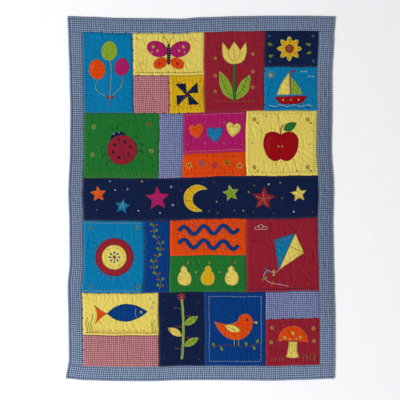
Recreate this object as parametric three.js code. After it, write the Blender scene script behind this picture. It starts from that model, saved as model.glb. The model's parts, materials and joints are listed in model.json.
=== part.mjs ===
// A baby's patchwork quilt, lying flat with its face up, in millimetres.
// A pieced and wadded middle is framed by four gingham border strips and a narrow binding that
// wraps the raw edge. Cloth motifs are sewn onto the patches.
// X runs across the quilt, Y towards its head end and Z up. It rests on Z = 0.
import * as THREE from "three";

// Sizes that drive the rest
const quiltWidth = 873;
const quiltLength = 1200;
const borderWidth = 48;
const bindingWidth = 9;
const loft = 7; // height of a wadded patch
const seamHeight = 4.4; // height where a seam pinches the layers
const seamRoll = 10; // how far from a seam a patch is back at its full height
const borderHeight = 6.4;
const borderRipple = 0.35; // how far the border's face rises and falls along it
const puckerDepth = 1.1; // the deepest pucker beside a seam
const puckerShare = 0.3; // puckers reach this share of a patch's short side into it
const clothThickness = 1; // a sewn-on motif with its turned edge
const gap = 0.3; // left between neighbouring pieces
const cellSize = 27; // the widest cell of the middle's upper face

const middleWidth = quiltWidth - 2 * borderWidth;
const middleLength = quiltLength - 2 * borderWidth;

// Cloths
const cloths = {
  yellow: { colour: 0xd8c25c, roughness: 0.9 },
  gold: { colour: 0xcb9f1e, roughness: 0.9 },
  orange: { colour: 0xd04a12, roughness: 0.9 },
  red: { colour: 0x8f0f1c, roughness: 0.9 },
  crimson: { colour: 0x8a1f32, roughness: 0.9 },
  magenta: { colour: 0xa01c5e, roughness: 0.9 },
  green: { colour: 0x226b2d, roughness: 0.9 },
  lime: { colour: 0x7d9a24, roughness: 0.9 },
  turquoise: { colour: 0x0a74a5, roughness: 0.9 },
  royal: { colour: 0x063674, roughness: 0.9 },
  navy: { colour: 0x10204a, roughness: 0.9 },
  wadding_front: { colour: 0xb9b6a8, roughness: 0.95 },
  gingham_blue: { colour: 0x66768f, roughness: 0.9 },
};

// The patchwork, measured on the flat cloth from the middle's head left corner: across, down
const patches = [
  { name: "balloon_patch", across: [0, 165], down: [0, 265] },
  { name: "butterfly_patch", across: [165, 400], down: [0, 140] },
  { name: "rose_check_head", across: [165, 285], down: [140, 265] },
  { name: "pinwheel_patch", across: [285, 400], down: [140, 265] },
  { name: "tulip_patch", across: [400, 600], down: [0, 265] },
  { name: "daisy_patch", across: [600, 777], down: [0, 120] },
  { name: "boat_patch", across: [600, 777], down: [120, 265] },
  { name: "ladybird_patch", across: [0, 250], down: [265, 480] },
  { name: "mauve_check_strip", across: [250, 330], down: [265, 480] },
  { name: "hearts_patch", across: [330, 540], down: [265, 400] },
  { name: "knot_patch", across: [330, 540], down: [400, 480] },
  { name: "apple_patch", across: [540, 777], down: [265, 480] },
  { name: "night_band", across: [0, 777], down: [480, 620] },
  { name: "penny_patch", across: [0, 200], down: [620, 860] },
  { name: "vine_strip", across: [200, 285], down: [620, 860] },
  { name: "wave_patch", across: [285, 540], down: [620, 740] },
  { name: "pear_patch", across: [285, 540], down: [740, 860] },
  { name: "kite_patch", across: [540, 777], down: [620, 860] },
  { name: "fish_patch", across: [0, 250], down: [860, 1000] },
  { name: "rose_check_foot", across: [0, 250], down: [1000, 1104] },
  { name: "sprig_patch", across: [250, 400], down: [860, 1104] },
  { name: "bird_patch", across: [400, 600], down: [860, 1104] },
  { name: "mauve_check_foot", across: [600, 777], down: [860, 950] },
  { name: "mushroom_patch", across: [600, 777], down: [950, 1104] },
];

// How far the worn quilt's edge strays outwards from a true rectangle
const longEdges = [
  { down: 0, left: 4.6, right: 6.3 },
  { down: 75, left: 1.7, right: 1.5 },
  { down: 200, left: -2.2, right: -4.5 },
  { down: 310, left: -4.6, right: -4.0 },
  { down: 440, left: -3.3, right: -6.3 },
  { down: 575, left: 1.7, right: 1.3 },
  { down: 690, left: -1.5, right: -1.2 },
  { down: 805, left: -2.3, right: 0.8 },
  { down: 890, left: 4.0, right: 3.2 },
  { down: 1000, left: 1.6, right: 5.6 },
  { down: 1130, left: 0.4, right: 5.6 },
  { down: 1200, left: 9.9, right: 4.0 },
];
const shortEdges = [
  { across: 0, head: 2.6, foot: -5.0 },
  { across: 70, head: 0.3, foot: 0.7 },
  { across: 165, head: -3.6, foot: 3.0 },
  { across: 270, head: -4.6, foot: 3.6 },
  { across: 365, head: -6.0, foot: 0.6 },
  { across: 440, head: -1.2, foot: -0.3 },
  { across: 560, head: 2.3, foot: 0.3 },
  { across: 665, head: 3.6, foot: 1.7 },
  { across: 765, head: 3.6, foot: -1.0 },
  { across: 873, head: 2.3, foot: -5.0 },
];
const middleSkew = 5; // the seams climb this much to each side, halfway down
const seamDrift = 1.6; // and wander this much by themselves

const smooth = (t) => {
  const s = Math.min(1, Math.max(0, t));
  return s * s * (3 - 2 * s);
};

// A table's column at a place between two of its rows
function between(table, along, at, column) {
  const last = table.length - 1;
  let row = table.findIndex((r) => r[along] >= at);
  row = row < 0 ? last : Math.max(1, row);
  const from = table[row - 1];
  const to = table[row];
  const share = smooth((at - from[along]) / (to[along] - from[along]));
  return from[column] + (to[column] - from[column]) * share;
}

// Where a point of the flat cloth lies on the laid quilt, before the facets
function laid(u, v) {
  const fromLeft = u / quiltWidth;
  const fromHead = v / quiltLength;
  const inside = Math.sin(Math.PI * fromLeft) * Math.sin(Math.PI * fromHead);
  const x =
    u -
    between(longEdges, "down", v, "left") * (1 - fromLeft) ** 2 +
    between(longEdges, "down", v, "right") * fromLeft ** 2 +
    seamDrift * inside * Math.sin(v / 62 + u / 140);
  const y =
    v -
    between(shortEdges, "across", u, "head") * (1 - fromHead) ** 2 +
    between(shortEdges, "across", u, "foot") * fromHead ** 2 +
    seamDrift * inside * Math.sin(u / 71 + v / 160) -
    middleSkew * (2 * fromLeft - 1) * Math.sin(Math.PI * fromHead);
  return [x, y];
}

// Lines across an interval, with every step at most a given size
function filled(stops, step) {
  const lines = [stops[0]];
  stops.slice(1).forEach((stop, i) => {
    const steps = Math.ceil((stop - stops[i]) / step - 1e-6);
    for (let k = 1; k <= steps; k++) lines.push(stops[i] + ((stop - stops[i]) * k) / steps);
  });
  return lines;
}

const sorted = (values) => [...new Set(values)].sort((a, b) => a - b);
const acrossStops = sorted(patches.flatMap((p) => p.across));
const downStops = sorted(patches.flatMap((p) => p.down));

// The quilt's outline and seams bend only at these lines, so that neighbouring pieces share facets
const bendStep = 76;
const bendAcross = [0, ...filled(acrossStops, bendStep).map((a) => a + borderWidth), quiltWidth];
const bendDown = [0, ...filled(downStops, bendStep).map((d) => d + borderWidth), quiltLength];

// The cell of a list of lines that holds a value, and how far across it the value is
function cellOf(lines, at) {
  let i = lines.findIndex((line, k) => k > 0 && line >= at) - 1;
  if (i < 0) i = at <= lines[0] ? 0 : lines.length - 2;
  return [i, (at - lines[i]) / (lines[i + 1] - lines[i])];
}

// The place of a flat point among the bend lines' corners
function placed(u, v) {
  const [i, s] = cellOf(bendAcross, u);
  const [j, t] = cellOf(bendDown, v);
  const corner = (a, b) => laid(bendAcross[i + a], bendDown[j + b]);
  return [0, 1].map(
    (k) =>
      (corner(0, 0)[k] * (1 - s) + corner(1, 0)[k] * s) * (1 - t) +
      (corner(0, 1)[k] * (1 - s) + corner(1, 1)[k] * s) * t,
  );
}

// The middle of the laid quilt's box is the origin
const rim = [
  ...bendAcross.flatMap((u) => [placed(u, 0), placed(u, quiltLength)]),
  ...bendDown.flatMap((v) => [placed(0, v), placed(quiltWidth, v)]),
];
const middleOf = (k) =>
  (Math.min(...rim.map((p) => p[k])) + Math.max(...rim.map((p) => p[k]))) / 2;
const centre = [middleOf(0), middleOf(1)];

function point(u, v, z) {
  const [x, y] = placed(u, v);
  return [x - centre[0], centre[1] - y, z];
}

function geometryOf(points, triangles) {
  const geometry = new THREE.BufferGeometry();
  geometry.setAttribute("position", new THREE.Float32BufferAttribute(points.flat(), 3));
  geometry.setIndex(triangles.flat());
  geometry.computeVertexNormals();
  return geometry;
}

function clothMesh(name, geometry, cloth) {
  const { colour, roughness } = cloths[cloth];
  const material = new THREE.MeshStandardMaterial({ color: colour, roughness, metalness: 0 });
  const mesh = new THREE.Mesh(geometry, material);
  mesh.name = name;
  return mesh;
}

// The wadded middle

// Soft puckers run in from the seams and leave a patch's own middle flat
function pucker(a, d, inset, reach) {
  const across = Math.sin(a / 9.1 + 1.7 * Math.sin(d / 37));
  const down = Math.sin(d / 10.3 + a / 51);
  return puckerDepth * (0.5 + 0.5 * across * down) * (1 - smooth(inset / reach));
}

function middleHeight(a, d) {
  const patch = patches.find(
    (p) => a >= p.across[0] && a <= p.across[1] && d >= p.down[0] && d <= p.down[1],
  );
  const inset = Math.min(
    a - patch.across[0],
    patch.across[1] - a,
    d - patch.down[0],
    patch.down[1] - d,
  );
  const shortSide = Math.min(patch.across[1] - patch.across[0], patch.down[1] - patch.down[0]);
  const reach = puckerShare * shortSide;
  const rise = smooth(inset / seamRoll);
  return seamHeight + rise * (loft - seamHeight - pucker(a, d, inset, reach));
}

// Grid lines beside each seam, at the bend lines, and between them
function gridLines(stops, bends, length) {
  const nearest = 6;
  const kept = sorted([...stops, ...bends.filter((b) => b >= 0 && b <= length)]);
  stops.forEach((stop) =>
    [stop - seamRoll, stop + seamRoll]
      .filter((line) => line > 0 && line < length)
      .filter((line) => kept.every((k) => Math.abs(k - line) > nearest))
      .forEach((line) => kept.push(line)),
  );
  return filled(sorted(kept), cellSize);
}

function middleGeometry() {
  const inMiddle = (line) => line - borderWidth;
  const across = gridLines(acrossStops, bendAcross.map(inMiddle), middleWidth);
  const down = gridLines(downStops, bendDown.map(inMiddle), middleLength);
  const columns = across.length;
  const rows = down.length;
  const points = [];
  const flat = (a, d) => [
    borderWidth + Math.min(middleWidth - gap / 2, Math.max(gap / 2, a)),
    borderWidth + Math.min(middleLength - gap / 2, Math.max(gap / 2, d)),
  ];
  down.forEach((d) => across.forEach((a) => points.push(point(...flat(a, d), middleHeight(a, d)))));
  const top = (i, j) => j * columns + i;
  const triangles = [];
  for (let j = 0; j < rows - 1; j++) {
    for (let i = 0; i < columns - 1; i++) {
      const [a, b, c, d] = [top(i, j), top(i + 1, j), top(i + 1, j + 1), top(i, j + 1)];
      if ((i + j) % 2) triangles.push([a, d, b], [b, d, c]);
      else triangles.push([a, d, c], [a, c, b]);
    }
  }
  // The rim, once round: head, right, foot, left
  const ring = [];
  for (let i = 0; i < columns - 1; i++) ring.push([i, 0]);
  for (let j = 0; j < rows - 1; j++) ring.push([columns - 1, j]);
  for (let i = columns - 1; i > 0; i--) ring.push([i, rows - 1]);
  for (let j = rows - 1; j > 0; j--) ring.push([0, j]);
  const underside = new Map();
  ring.forEach(([i, j]) => {
    underside.set(`${i},${j}`, points.length);
    points.push(point(...flat(across[i], down[j]), 0));
  });
  const low = (i, j) => underside.get(`${i},${j}`);
  ring.forEach(([i, j], k) => {
    const [p, q] = ring[(k + 1) % ring.length];
    triangles.push([top(i, j), top(p, q), low(i, j)], [low(i, j), top(p, q), low(p, q)]);
  });
  // The flat underside: long strips from head to foot, and a fan down each side
  for (let i = 1; i < columns - 2; i++) {
    triangles.push([low(i, 0), low(i + 1, 0), low(i, rows - 1)]);
    triangles.push([low(i + 1, 0), low(i + 1, rows - 1), low(i, rows - 1)]);
  }
  const right = columns - 1;
  for (let j = 0; j < rows - 1; j++) {
    triangles.push([low(1, 0), low(0, j + 1), low(0, j)]);
    triangles.push([low(right - 1, 0), low(right, j), low(right, j + 1)]);
  }
  triangles.push([low(1, 0), low(1, rows - 1), low(0, rows - 1)]);
  triangles.push([low(right - 1, 0), low(right, rows - 1), low(right - 1, rows - 1)]);
  return geometryOf(points, triangles);
}

// The border strips

const edgeInset = 2; // the strip's raw edge, inside the binding's fold
const lipHeight = 1.3; // the strip lifts over the binding's lower side
const tuckedHeight = 4.6; // and is pressed to this height inside the binding

// The strip's lower and upper face at a flat point
function stripHeights(u, v, fromSeam) {
  const fromEdge = Math.min(u, quiltWidth - u, v, quiltLength - v);
  if (fromEdge < bindingWidth + gap) return [lipHeight, tuckedHeight];
  const rise = smooth(fromSeam / seamRoll);
  const crown = borderHeight - borderRipple + borderRipple * Math.sin((u + v) / 33);
  return [0, seamHeight + rise * (crown - seamHeight)];
}

// A strip on the grid of its own lines. seamDistance gives how far a flat point is from its seams
function stripGeometry(uLines, vLines, seamDistance) {
  const points = uLines.flatMap((u) =>
    vLines.flatMap((v) => {
      const [low, high] = stripHeights(u, v, seamDistance(u, v));
      return [point(u, v, low), point(u, v, high)];
    }),
  );
  const columns = uLines.length;
  const rows = vLines.length;
  const low = (i, j) => 2 * (i * rows + j);
  const top = (i, j) => low(i, j) + 1;
  const triangles = [];
  const quad = (a, b, c, d) => triangles.push([a, b, c], [a, c, d]);
  for (let i = 0; i < columns - 1; i++) {
    for (let j = 0; j < rows - 1; j++) {
      quad(top(i, j), top(i, j + 1), top(i + 1, j + 1), top(i + 1, j));
      quad(low(i, j), low(i + 1, j), low(i + 1, j + 1), low(i, j + 1));
    }
    quad(low(i, 0), top(i, 0), top(i + 1, 0), low(i + 1, 0));
    quad(low(i + 1, rows - 1), top(i + 1, rows - 1), top(i, rows - 1), low(i, rows - 1));
  }
  for (let j = 0; j < rows - 1; j++) {
    quad(low(0, j + 1), top(0, j + 1), top(0, j), low(0, j));
    quad(
      low(columns - 1, j),
      top(columns - 1, j),
      top(columns - 1, j + 1),
      low(columns - 1, j + 1),
    );
  }
  return geometryOf(points, triangles);
}

// Lines across a strip, from the quilt's edge to the seam
const stripCrossing = [
  edgeInset + gap,
  bindingWidth + gap - 0.01,
  bindingWidth + gap,
  24,
  borderWidth - seamRoll,
  borderWidth - gap / 2,
];

function borderStrips() {
  const far = (lines, size) => lines.map((line) => size - line).reverse();
  const bothEnds = (ends, bends, size) => [
    ...ends,
    ...bends.filter((line) => line > ends.at(-1) + 1 && line < size - ends.at(-1) - 1),
    ...far(ends, size),
  ];
  const fullWidth = bothEnds(stripCrossing.slice(0, 3), bendAcross, quiltWidth);
  const sideEnd = [borderWidth + gap / 2, borderWidth + seamRoll];
  const sideLength = bothEnds(sideEnd, bendDown, quiltLength);
  const fromLongSeam = (u, v) => Math.max(borderWidth - v, v - quiltLength + borderWidth);
  const fromAnySeam = (u, v) =>
    Math.min(Math.max(borderWidth - u, u - quiltWidth + borderWidth), -fromLongSeam(u, v));
  const strip = (name, uLines, vLines, seamDistance) =>
    clothMesh(name, stripGeometry(uLines, vLines, seamDistance), "gingham_blue");
  return [
    strip("border_head", fullWidth, stripCrossing, fromLongSeam),
    strip("border_foot", fullWidth, far(stripCrossing, quiltLength), fromLongSeam),
    strip("border_left", stripCrossing, sideLength, fromAnySeam),
    strip("border_right", far(stripCrossing, quiltWidth), sideLength, fromAnySeam),
  ];
}

// The binding: a folded strip that wraps the raw edge, mitred at the corners

// Its section, as distance in from the quilt's edge and height
const bindingSection = [
  { inset: 0.9, height: 0 },
  { inset: bindingWidth, height: 0 },
  { inset: bindingWidth, height: lipHeight - gap },
  { inset: edgeInset, height: lipHeight - gap },
  { inset: edgeInset, height: tuckedHeight + gap },
  { inset: bindingWidth, height: tuckedHeight + gap },
  { inset: bindingWidth, height: tuckedHeight + gap + 1.1 },
  { inset: 5, height: tuckedHeight + gap + 1.3 },
  { inset: 1.1, height: tuckedHeight + gap + 0.6 },
  { inset: 0, height: 3.6 },
  { inset: 0, height: 1.2 },
];

// flatPoint gives the flat place at a distance along the edge and in from it
function bindingGeometry(stations, size, flatPoint, turned) {
  const points = stations.flatMap((line) =>
    bindingSection.map(({ inset, height }) => {
      const mitre = inset + gap * Math.SQRT1_2;
      const along = Math.min(size - mitre, Math.max(mitre, line));
      return point(...flatPoint(along, inset), height);
    }),
  );
  const count = bindingSection.length;
  const triangles = [];
  const add = (a, b, c) => triangles.push(turned ? [a, c, b] : [a, b, c]);
  for (let k = 0; k < stations.length - 1; k++) {
    for (let s = 0; s < count; s++) {
      const t = (s + 1) % count;
      const [a, b] = [k * count + s, k * count + t];
      add(a, b, b + count);
      add(a, b + count, a + count);
    }
  }
  const outline = bindingSection.map(({ inset, height }) => new THREE.Vector2(inset, height));
  const end = (stations.length - 1) * count;
  THREE.ShapeUtils.triangulateShape(outline, []).forEach(([a, b, c]) => {
    add(a, c, b);
    add(end + a, end + b, end + c);
  });
  return geometryOf(points, triangles);
}

function binding() {
  const head = (along, inset) => [along, inset];
  const foot = (along, inset) => [along, quiltLength - inset];
  const left = (along, inset) => [inset, along];
  const right = (along, inset) => [quiltWidth - inset, along];
  const made = (name, lines, size, place, turned) =>
    clothMesh(name, bindingGeometry(lines, size, place, turned), "gingham_blue");
  return [
    made("binding_head", bendAcross, quiltWidth, head, true),
    made("binding_foot", bendAcross, quiltWidth, foot, false),
    made("binding_left", bendDown, quiltLength, left, false),
    made("binding_right", bendDown, quiltLength, right, true),
  ];
}

// Outlines of the sewn-on motifs, each about its own middle with Y towards the quilt's head

const pointed = (pairs) => new THREE.Shape(pairs.map(([x, y]) => new THREE.Vector2(x, y)));
const bar = (width, height) =>
  pointed([
    [-width / 2, -height / 2],
    [width / 2, -height / 2],
    [width / 2, height / 2],
    [-width / 2, height / 2],
  ]);
const disc = (radius) => new THREE.Shape().absarc(0, 0, radius, 0, 2 * Math.PI);
const oval = (halfWidth, halfHeight) =>
  new THREE.Shape().absellipse(0, 0, halfWidth, halfHeight, 0, 2 * Math.PI);

// Points at radii that repeat round a circle, starting at the top
function radial(count, radiusAt) {
  return pointed(
    Array.from({ length: count }, (_, k) => {
      const turn = Math.PI / 2 + (2 * Math.PI * k) / count;
      return [radiusAt(k) * Math.cos(turn), radiusAt(k) * Math.sin(turn)];
    }),
  );
}
const star = (outer) => radial(10, (k) => (k % 2 ? 0.46 * outer : outer));
const rosette = (petals, outer) =>
  radial(6 * petals, (k) => outer * (0.82 + 0.18 * Math.cos((2 * Math.PI * k) / 6)));

// A leaf from its stalk end at the origin
function leaf(length, width) {
  return new THREE.Shape()
    .moveTo(0, 0)
    .quadraticCurveTo(0.42 * length, width, length, 0)
    .quadraticCurveTo(0.42 * length, -width, 0, 0);
}

function heart(width) {
  const h = width / 2;
  return new THREE.Shape()
    .moveTo(0, -0.95 * h)
    .bezierCurveTo(-1.3 * h, 0, -1.08 * h, 0.92 * h, -0.5 * h, 0.92 * h)
    .quadraticCurveTo(-0.1 * h, 0.9 * h, 0, 0.5 * h)
    .quadraticCurveTo(0.1 * h, 0.9 * h, 0.5 * h, 0.92 * h)
    .bezierCurveTo(1.08 * h, 0.92 * h, 1.3 * h, 0, 0, -0.95 * h);
}

function crescent(radius) {
  return new THREE.Shape()
    .absarc(0, 0, radius, 0.24 * Math.PI, 1.62 * Math.PI)
    .quadraticCurveTo(-0.62 * radius, -0.42 * radius, -0.3 * radius, 0.22 * radius)
    .quadraticCurveTo(0.05 * radius, 0.72 * radius, 0.72 * radius, 0.69 * radius);
}

function pinwheel(reach, hub) {
  const blade = [
    [hub, hub],
    [reach, hub],
    [reach, reach],
  ];
  const quarter = ([x, y], turns) => {
    for (let k = 0; k < turns; k++) [x, y] = [-y, x];
    return [x, y];
  };
  return pointed([0, 1, 2, 3].flatMap((turns) => blade.map((p) => quarter(p, turns))));
}

// A cup with three tips, standing on the origin
function tulipCup(width, height) {
  const h = width / 2;
  return new THREE.Shape()
    .moveTo(0, 0)
    .bezierCurveTo(1.05 * h, 0, 1.12 * h, 0.5 * height, h, height)
    .lineTo(0.5 * h, 0.62 * height)
    .lineTo(0, 1.04 * height)
    .lineTo(-0.5 * h, 0.62 * height)
    .lineTo(-h, height)
    .bezierCurveTo(-1.12 * h, 0.5 * height, -1.05 * h, 0, 0, 0);
}

// A leaf that grows up from the origin and leans out
function standingLeaf(height, reach) {
  return new THREE.Shape()
    .moveTo(0, 0)
    .bezierCurveTo(0.9 * reach, 0.1 * height, 1.1 * reach, 0.55 * height, reach, height)
    .bezierCurveTo(0.45 * reach, 0.8 * height, 0.02 * reach, 0.55 * height, 0, 0);
}

function boatHull(width, depth) {
  const h = width / 2;
  return new THREE.Shape()
    .moveTo(-h, 0)
    .quadraticCurveTo(-0.78 * h, -depth, -0.45 * h, -depth)
    .lineTo(0.45 * h, -depth)
    .quadraticCurveTo(0.78 * h, -depth, h, 0);
}

const sail = (width, height) =>
  new THREE.Shape()
    .moveTo(0, 0)
    .lineTo(0, height)
    .quadraticCurveTo(0.75 * width, 0.5 * height, width, 0);

// A cap over the top of a disc of the given radius
function beetleHead(radius, halfWidth) {
  const foot = Math.sqrt(radius ** 2 - halfWidth ** 2) + 1;
  return new THREE.Shape()
    .moveTo(-halfWidth, foot)
    .quadraticCurveTo(0, foot + 0.52 * halfWidth, halfWidth, foot)
    .bezierCurveTo(halfWidth, foot + halfWidth, -halfWidth, foot + halfWidth, -halfWidth, foot);
}

function apple(size) {
  const h = size / 2;
  return new THREE.Shape()
    .moveTo(0, 0.62 * h)
    .bezierCurveTo(0.35 * h, 0.98 * h, 1.1 * h, 0.95 * h, 1.05 * h, 0.1 * h)
    .bezierCurveTo(1.0 * h, -0.6 * h, 0.55 * h, -1.15 * h, 0, -0.82 * h)
    .bezierCurveTo(-0.55 * h, -1.15 * h, -1.0 * h, -0.6 * h, -1.05 * h, 0.1 * h)
    .bezierCurveTo(-1.1 * h, 0.95 * h, -0.35 * h, 0.98 * h, 0, 0.62 * h);
}

function pear(width, height) {
  const h = width / 2;
  return new THREE.Shape()
    .moveTo(0, -height / 2)
    .bezierCurveTo(1.3 * h, -height / 2, 1.2 * h, 0.02 * height, 0.5 * h, 0.2 * height)
    .bezierCurveTo(0.42 * h, 0.55 * height, -0.42 * h, 0.55 * height, -0.5 * h, 0.2 * height)
    .bezierCurveTo(-1.2 * h, 0.02 * height, -1.3 * h, -height / 2, 0, -height / 2);
}

// A band of even width along a sine
function wave(length, swing, waves, width) {
  const steps = 8 * waves;
  const side = (sign) =>
    Array.from({ length: steps + 1 }, (_, k) => {
      const phase = (2 * Math.PI * waves * k) / steps;
      const slope = ((2 * Math.PI * waves * swing) / length) * Math.cos(phase);
      const out = (sign * width) / 2 / Math.hypot(1, slope);
      return [
        length * (k / steps - 0.5) - out * slope,
        swing * Math.sin(phase) + out,
      ];
    });
  return pointed([...side(-1), ...side(1).reverse()]);
}

function fishTail(length, spread) {
  return new THREE.Shape()
    .moveTo(0, 0)
    .quadraticCurveTo(-0.5 * length, 0.15 * spread, -length, 0.5 * spread)
    .quadraticCurveTo(-0.62 * length, 0, -length, -0.5 * spread)
    .quadraticCurveTo(-0.5 * length, -0.15 * spread, 0, 0);
}

function birdBody(length) {
  const s = length / 100;
  return new THREE.Shape()
    .moveTo(-56 * s, 16 * s)
    .bezierCurveTo(-38 * s, -42 * s, 30 * s, -46 * s, 40 * s, 6 * s)
    .bezierCurveTo(46 * s, 40 * s, 8 * s, 46 * s, 2 * s, 16 * s)
    .quadraticCurveTo(-22 * s, 2 * s, -56 * s, 16 * s);
}

function mushroomCap(width, height) {
  const h = width / 2;
  return new THREE.Shape()
    .moveTo(-h, 0)
    .quadraticCurveTo(0, 0.16 * height, h, 0)
    .bezierCurveTo(0.95 * h, 1.3 * height, -0.95 * h, 1.3 * height, -h, 0);
}

function mushroomStalk(top, foot, height) {
  return new THREE.Shape()
    .moveTo(-top / 2, 0)
    .quadraticCurveTo(-top / 2, -0.6 * height, -foot / 2, -height)
    .quadraticCurveTo(0, -1.1 * height, foot / 2, -height)
    .quadraticCurveTo(top / 2, -0.6 * height, top / 2, 0);
}

const halfKite = (width, above, below) =>
  pointed([
    [0, above],
    [0, -below],
    [width, 0],
  ]);

// A stalk of even width along a gentle bend
function stalk(length, bend, width) {
  const h = width / 2;
  return new THREE.Shape()
    .moveTo(-h, 0)
    .lineTo(h, 0)
    .quadraticCurveTo(bend + h, length / 2, h, length)
    .lineTo(-h, length)
    .quadraticCurveTo(bend - h, length / 2, -h, 0);
}

// The motifs: x and y are from the middle of the patch, and layer 1 lies on layer 0
const mirrored = (shape) => {
  const { shape: points } = shape.extractPoints(curveSteps);
  return pointed(points.map((p) => [-p.x, p.y]));
};
const curveSteps = 8;
const part = (name, cloth, shape, x, y, turn = 0, layer = 0) => ({
  name,
  cloth,
  shape,
  x,
  y,
  turn,
  layer,
});

const motifs = {
  balloon_patch: [
    part("balloon_low", "orange", oval(26, 32), -38, 10, 6),
    part("balloon_high", "lime", oval(25, 31), 4, 72, -3),
    part("balloon_right", "magenta", oval(23, 28), 44, 20, -9),
  ],
  butterfly_patch: [
    part("butterfly_body", "navy", oval(5, 34), 0, 0),
    part("butterfly_wing_left", "magenta", oval(34, 24), -38, 17, -24),
    part("butterfly_wing_right", "magenta", oval(34, 24), 38, 17, 24),
    part("butterfly_tail_left", "orange", oval(23, 17), -28, -30, 26),
    part("butterfly_tail_right", "orange", oval(23, 17), 28, -30, -26),
  ],
  pinwheel_patch: [part("pinwheel", "navy", pinwheel(35, 3), 0, 0, 4)],
  tulip_patch: [
    part("tulip_cup", "yellow", tulipCup(76, 70), 0, 25),
    part("tulip_stalk", "green", bar(8, 118), 0, -36),
    part("tulip_leaf_left", "lime", mirrored(standingLeaf(92, 44)), -5, -92),
    part("tulip_leaf_right", "lime", standingLeaf(80, 46), 5, -92),
  ],
  daisy_patch: [
    part("daisy", "gold", rosette(8, 40), -8, 0),
    part("daisy_eye", "crimson", disc(13), -8, 0, 0, 1),
  ],
  boat_patch: [
    part("boat_hull", "red", boatHull(104, 24), 0, -26, 2),
    part("boat_sail_left", "yellow", mirrored(sail(42, 72)), -3, -19, 2),
    part("boat_sail_right", "lime", sail(34, 56), 3, -19, 2),
  ],
  ladybird_patch: [
    part("ladybird", "crimson", disc(48), 0, -14, 18),
    part("ladybird_head", "navy", beetleHead(48, 24), 0, -14, 18),
  ],
  hearts_patch: [
    part("heart_left", "orange", heart(48), -62, 6, 8),
    part("heart_middle", "turquoise", heart(52), 0, -8),
    part("heart_right", "yellow", heart(48), 62, 6, -8),
  ],
  apple_patch: [
    part("apple", "red", apple(108), -2, -8),
    part("apple_leaf", "green", leaf(46, 26), 8, 44, 28),
  ],
  night_band: [
    part("star_far_left", "orange", star(26), -338, 18, 5),
    part("star_left", "turquoise", star(25), -258, -22, -9),
    part("star_near_left", "magenta", star(40), -142, 4, 3),
    part("moon", "gold", crescent(44), -12, 0, 0),
    part("star_near_right", "lime", star(27), 98, 14, 10),
    part("star_right", "crimson", star(40), 206, -4, -4),
    part("star_far_right", "yellow", star(26), 322, 10, 7),
  ],
  penny_patch: [
    part("penny_large", "crimson", disc(62), 0, 0),
    part("penny_small", "yellow", disc(40), 0, 0, 0, 1),
  ],
  wave_patch: [
    part("wave_upper", "royal", wave(196, 13, 3, 11), 0, 24, 2),
    part("wave_lower", "royal", wave(196, 13, 3, 11), 0, -24, -2),
  ],
  pear_patch: [
    part("pear_left", "yellow", pear(44, 66), -78, -5, 4),
    part("pear_middle", "gold", pear(44, 66), 0, -5, -2),
    part("pear_right", "yellow", pear(44, 66), 78, -5, 3),
  ],
  kite_patch: [
    part("kite_left", "turquoise", mirrored(halfKite(52, 46, 84)), 21.6, 28, -24),
    part("kite_right", "yellow", halfKite(52, 46, 84), 22.6, 28, -24),
  ],
  fish_patch: [
    part("fish", "royal", leaf(132, 56), -44, 2, 3),
    part("fish_tail", "orange", fishTail(40, 60), -45.5, 2, 3),
  ],
  sprig_patch: [
    part("sprig_stalk", "lime", stalk(196, 10, 6), 0, -98),
    part("sprig_leaf_low", "lime", leaf(52, 22), 9, -56, 32),
    part("sprig_leaf_middle", "yellow", mirrored(leaf(52, 22)), -1, -22, -30),
    part("sprig_leaf_high", "lime", leaf(50, 22), 10, 14, 34),
  ],
  bird_patch: [
    part("bird", "orange", birdBody(128), 4, 4),
    part("bird_wing", "yellow", leaf(54, 22), -34, 10, -18, 1),
  ],
  mushroom_patch: [
    part("mushroom_cap", "orange", mushroomCap(98, 52), 0, 2, -2),
    part("mushroom_stalk", "yellow", mushroomStalk(26, 40, 50), 0, 1, -2),
  ],
};

function motifMeshes(patch) {
  const middleAcross = borderWidth + (patch.across[0] + patch.across[1]) / 2;
  const middleDown = borderWidth + (patch.down[0] + patch.down[1]) / 2;
  return (motifs[patch.name] ?? []).map(({ name, cloth, shape, x, y, turn, layer }) => {
    const geometry = new THREE.ExtrudeGeometry(shape, {
      depth: clothThickness,
      bevelEnabled: false,
      curveSegments: curveSteps,
    });
    const mesh = clothMesh(name, geometry, cloth);
    const height = loft + gap + layer * (clothThickness + gap);
    mesh.position.set(...point(middleAcross + x, middleDown - y, height));
    mesh.rotation.z = THREE.MathUtils.degToRad(turn);
    return mesh;
  });
}

const quilt = new THREE.Group();
quilt.add(clothMesh("quilt_middle", middleGeometry(), "wadding_front"));
quilt.add(...borderStrips(), ...binding());
patches.forEach((patch) => {
  const motif = new THREE.Group();
  motifMeshes(patch).forEach((mesh) => motif.add(mesh));
  quilt.add(motif);
});

export default quilt;
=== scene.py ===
import json
import math
import random
import bpy
import bmesh
import numpy as np
from mathutils import Matrix, Vector
from mathutils.kdtree import KDTree


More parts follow.
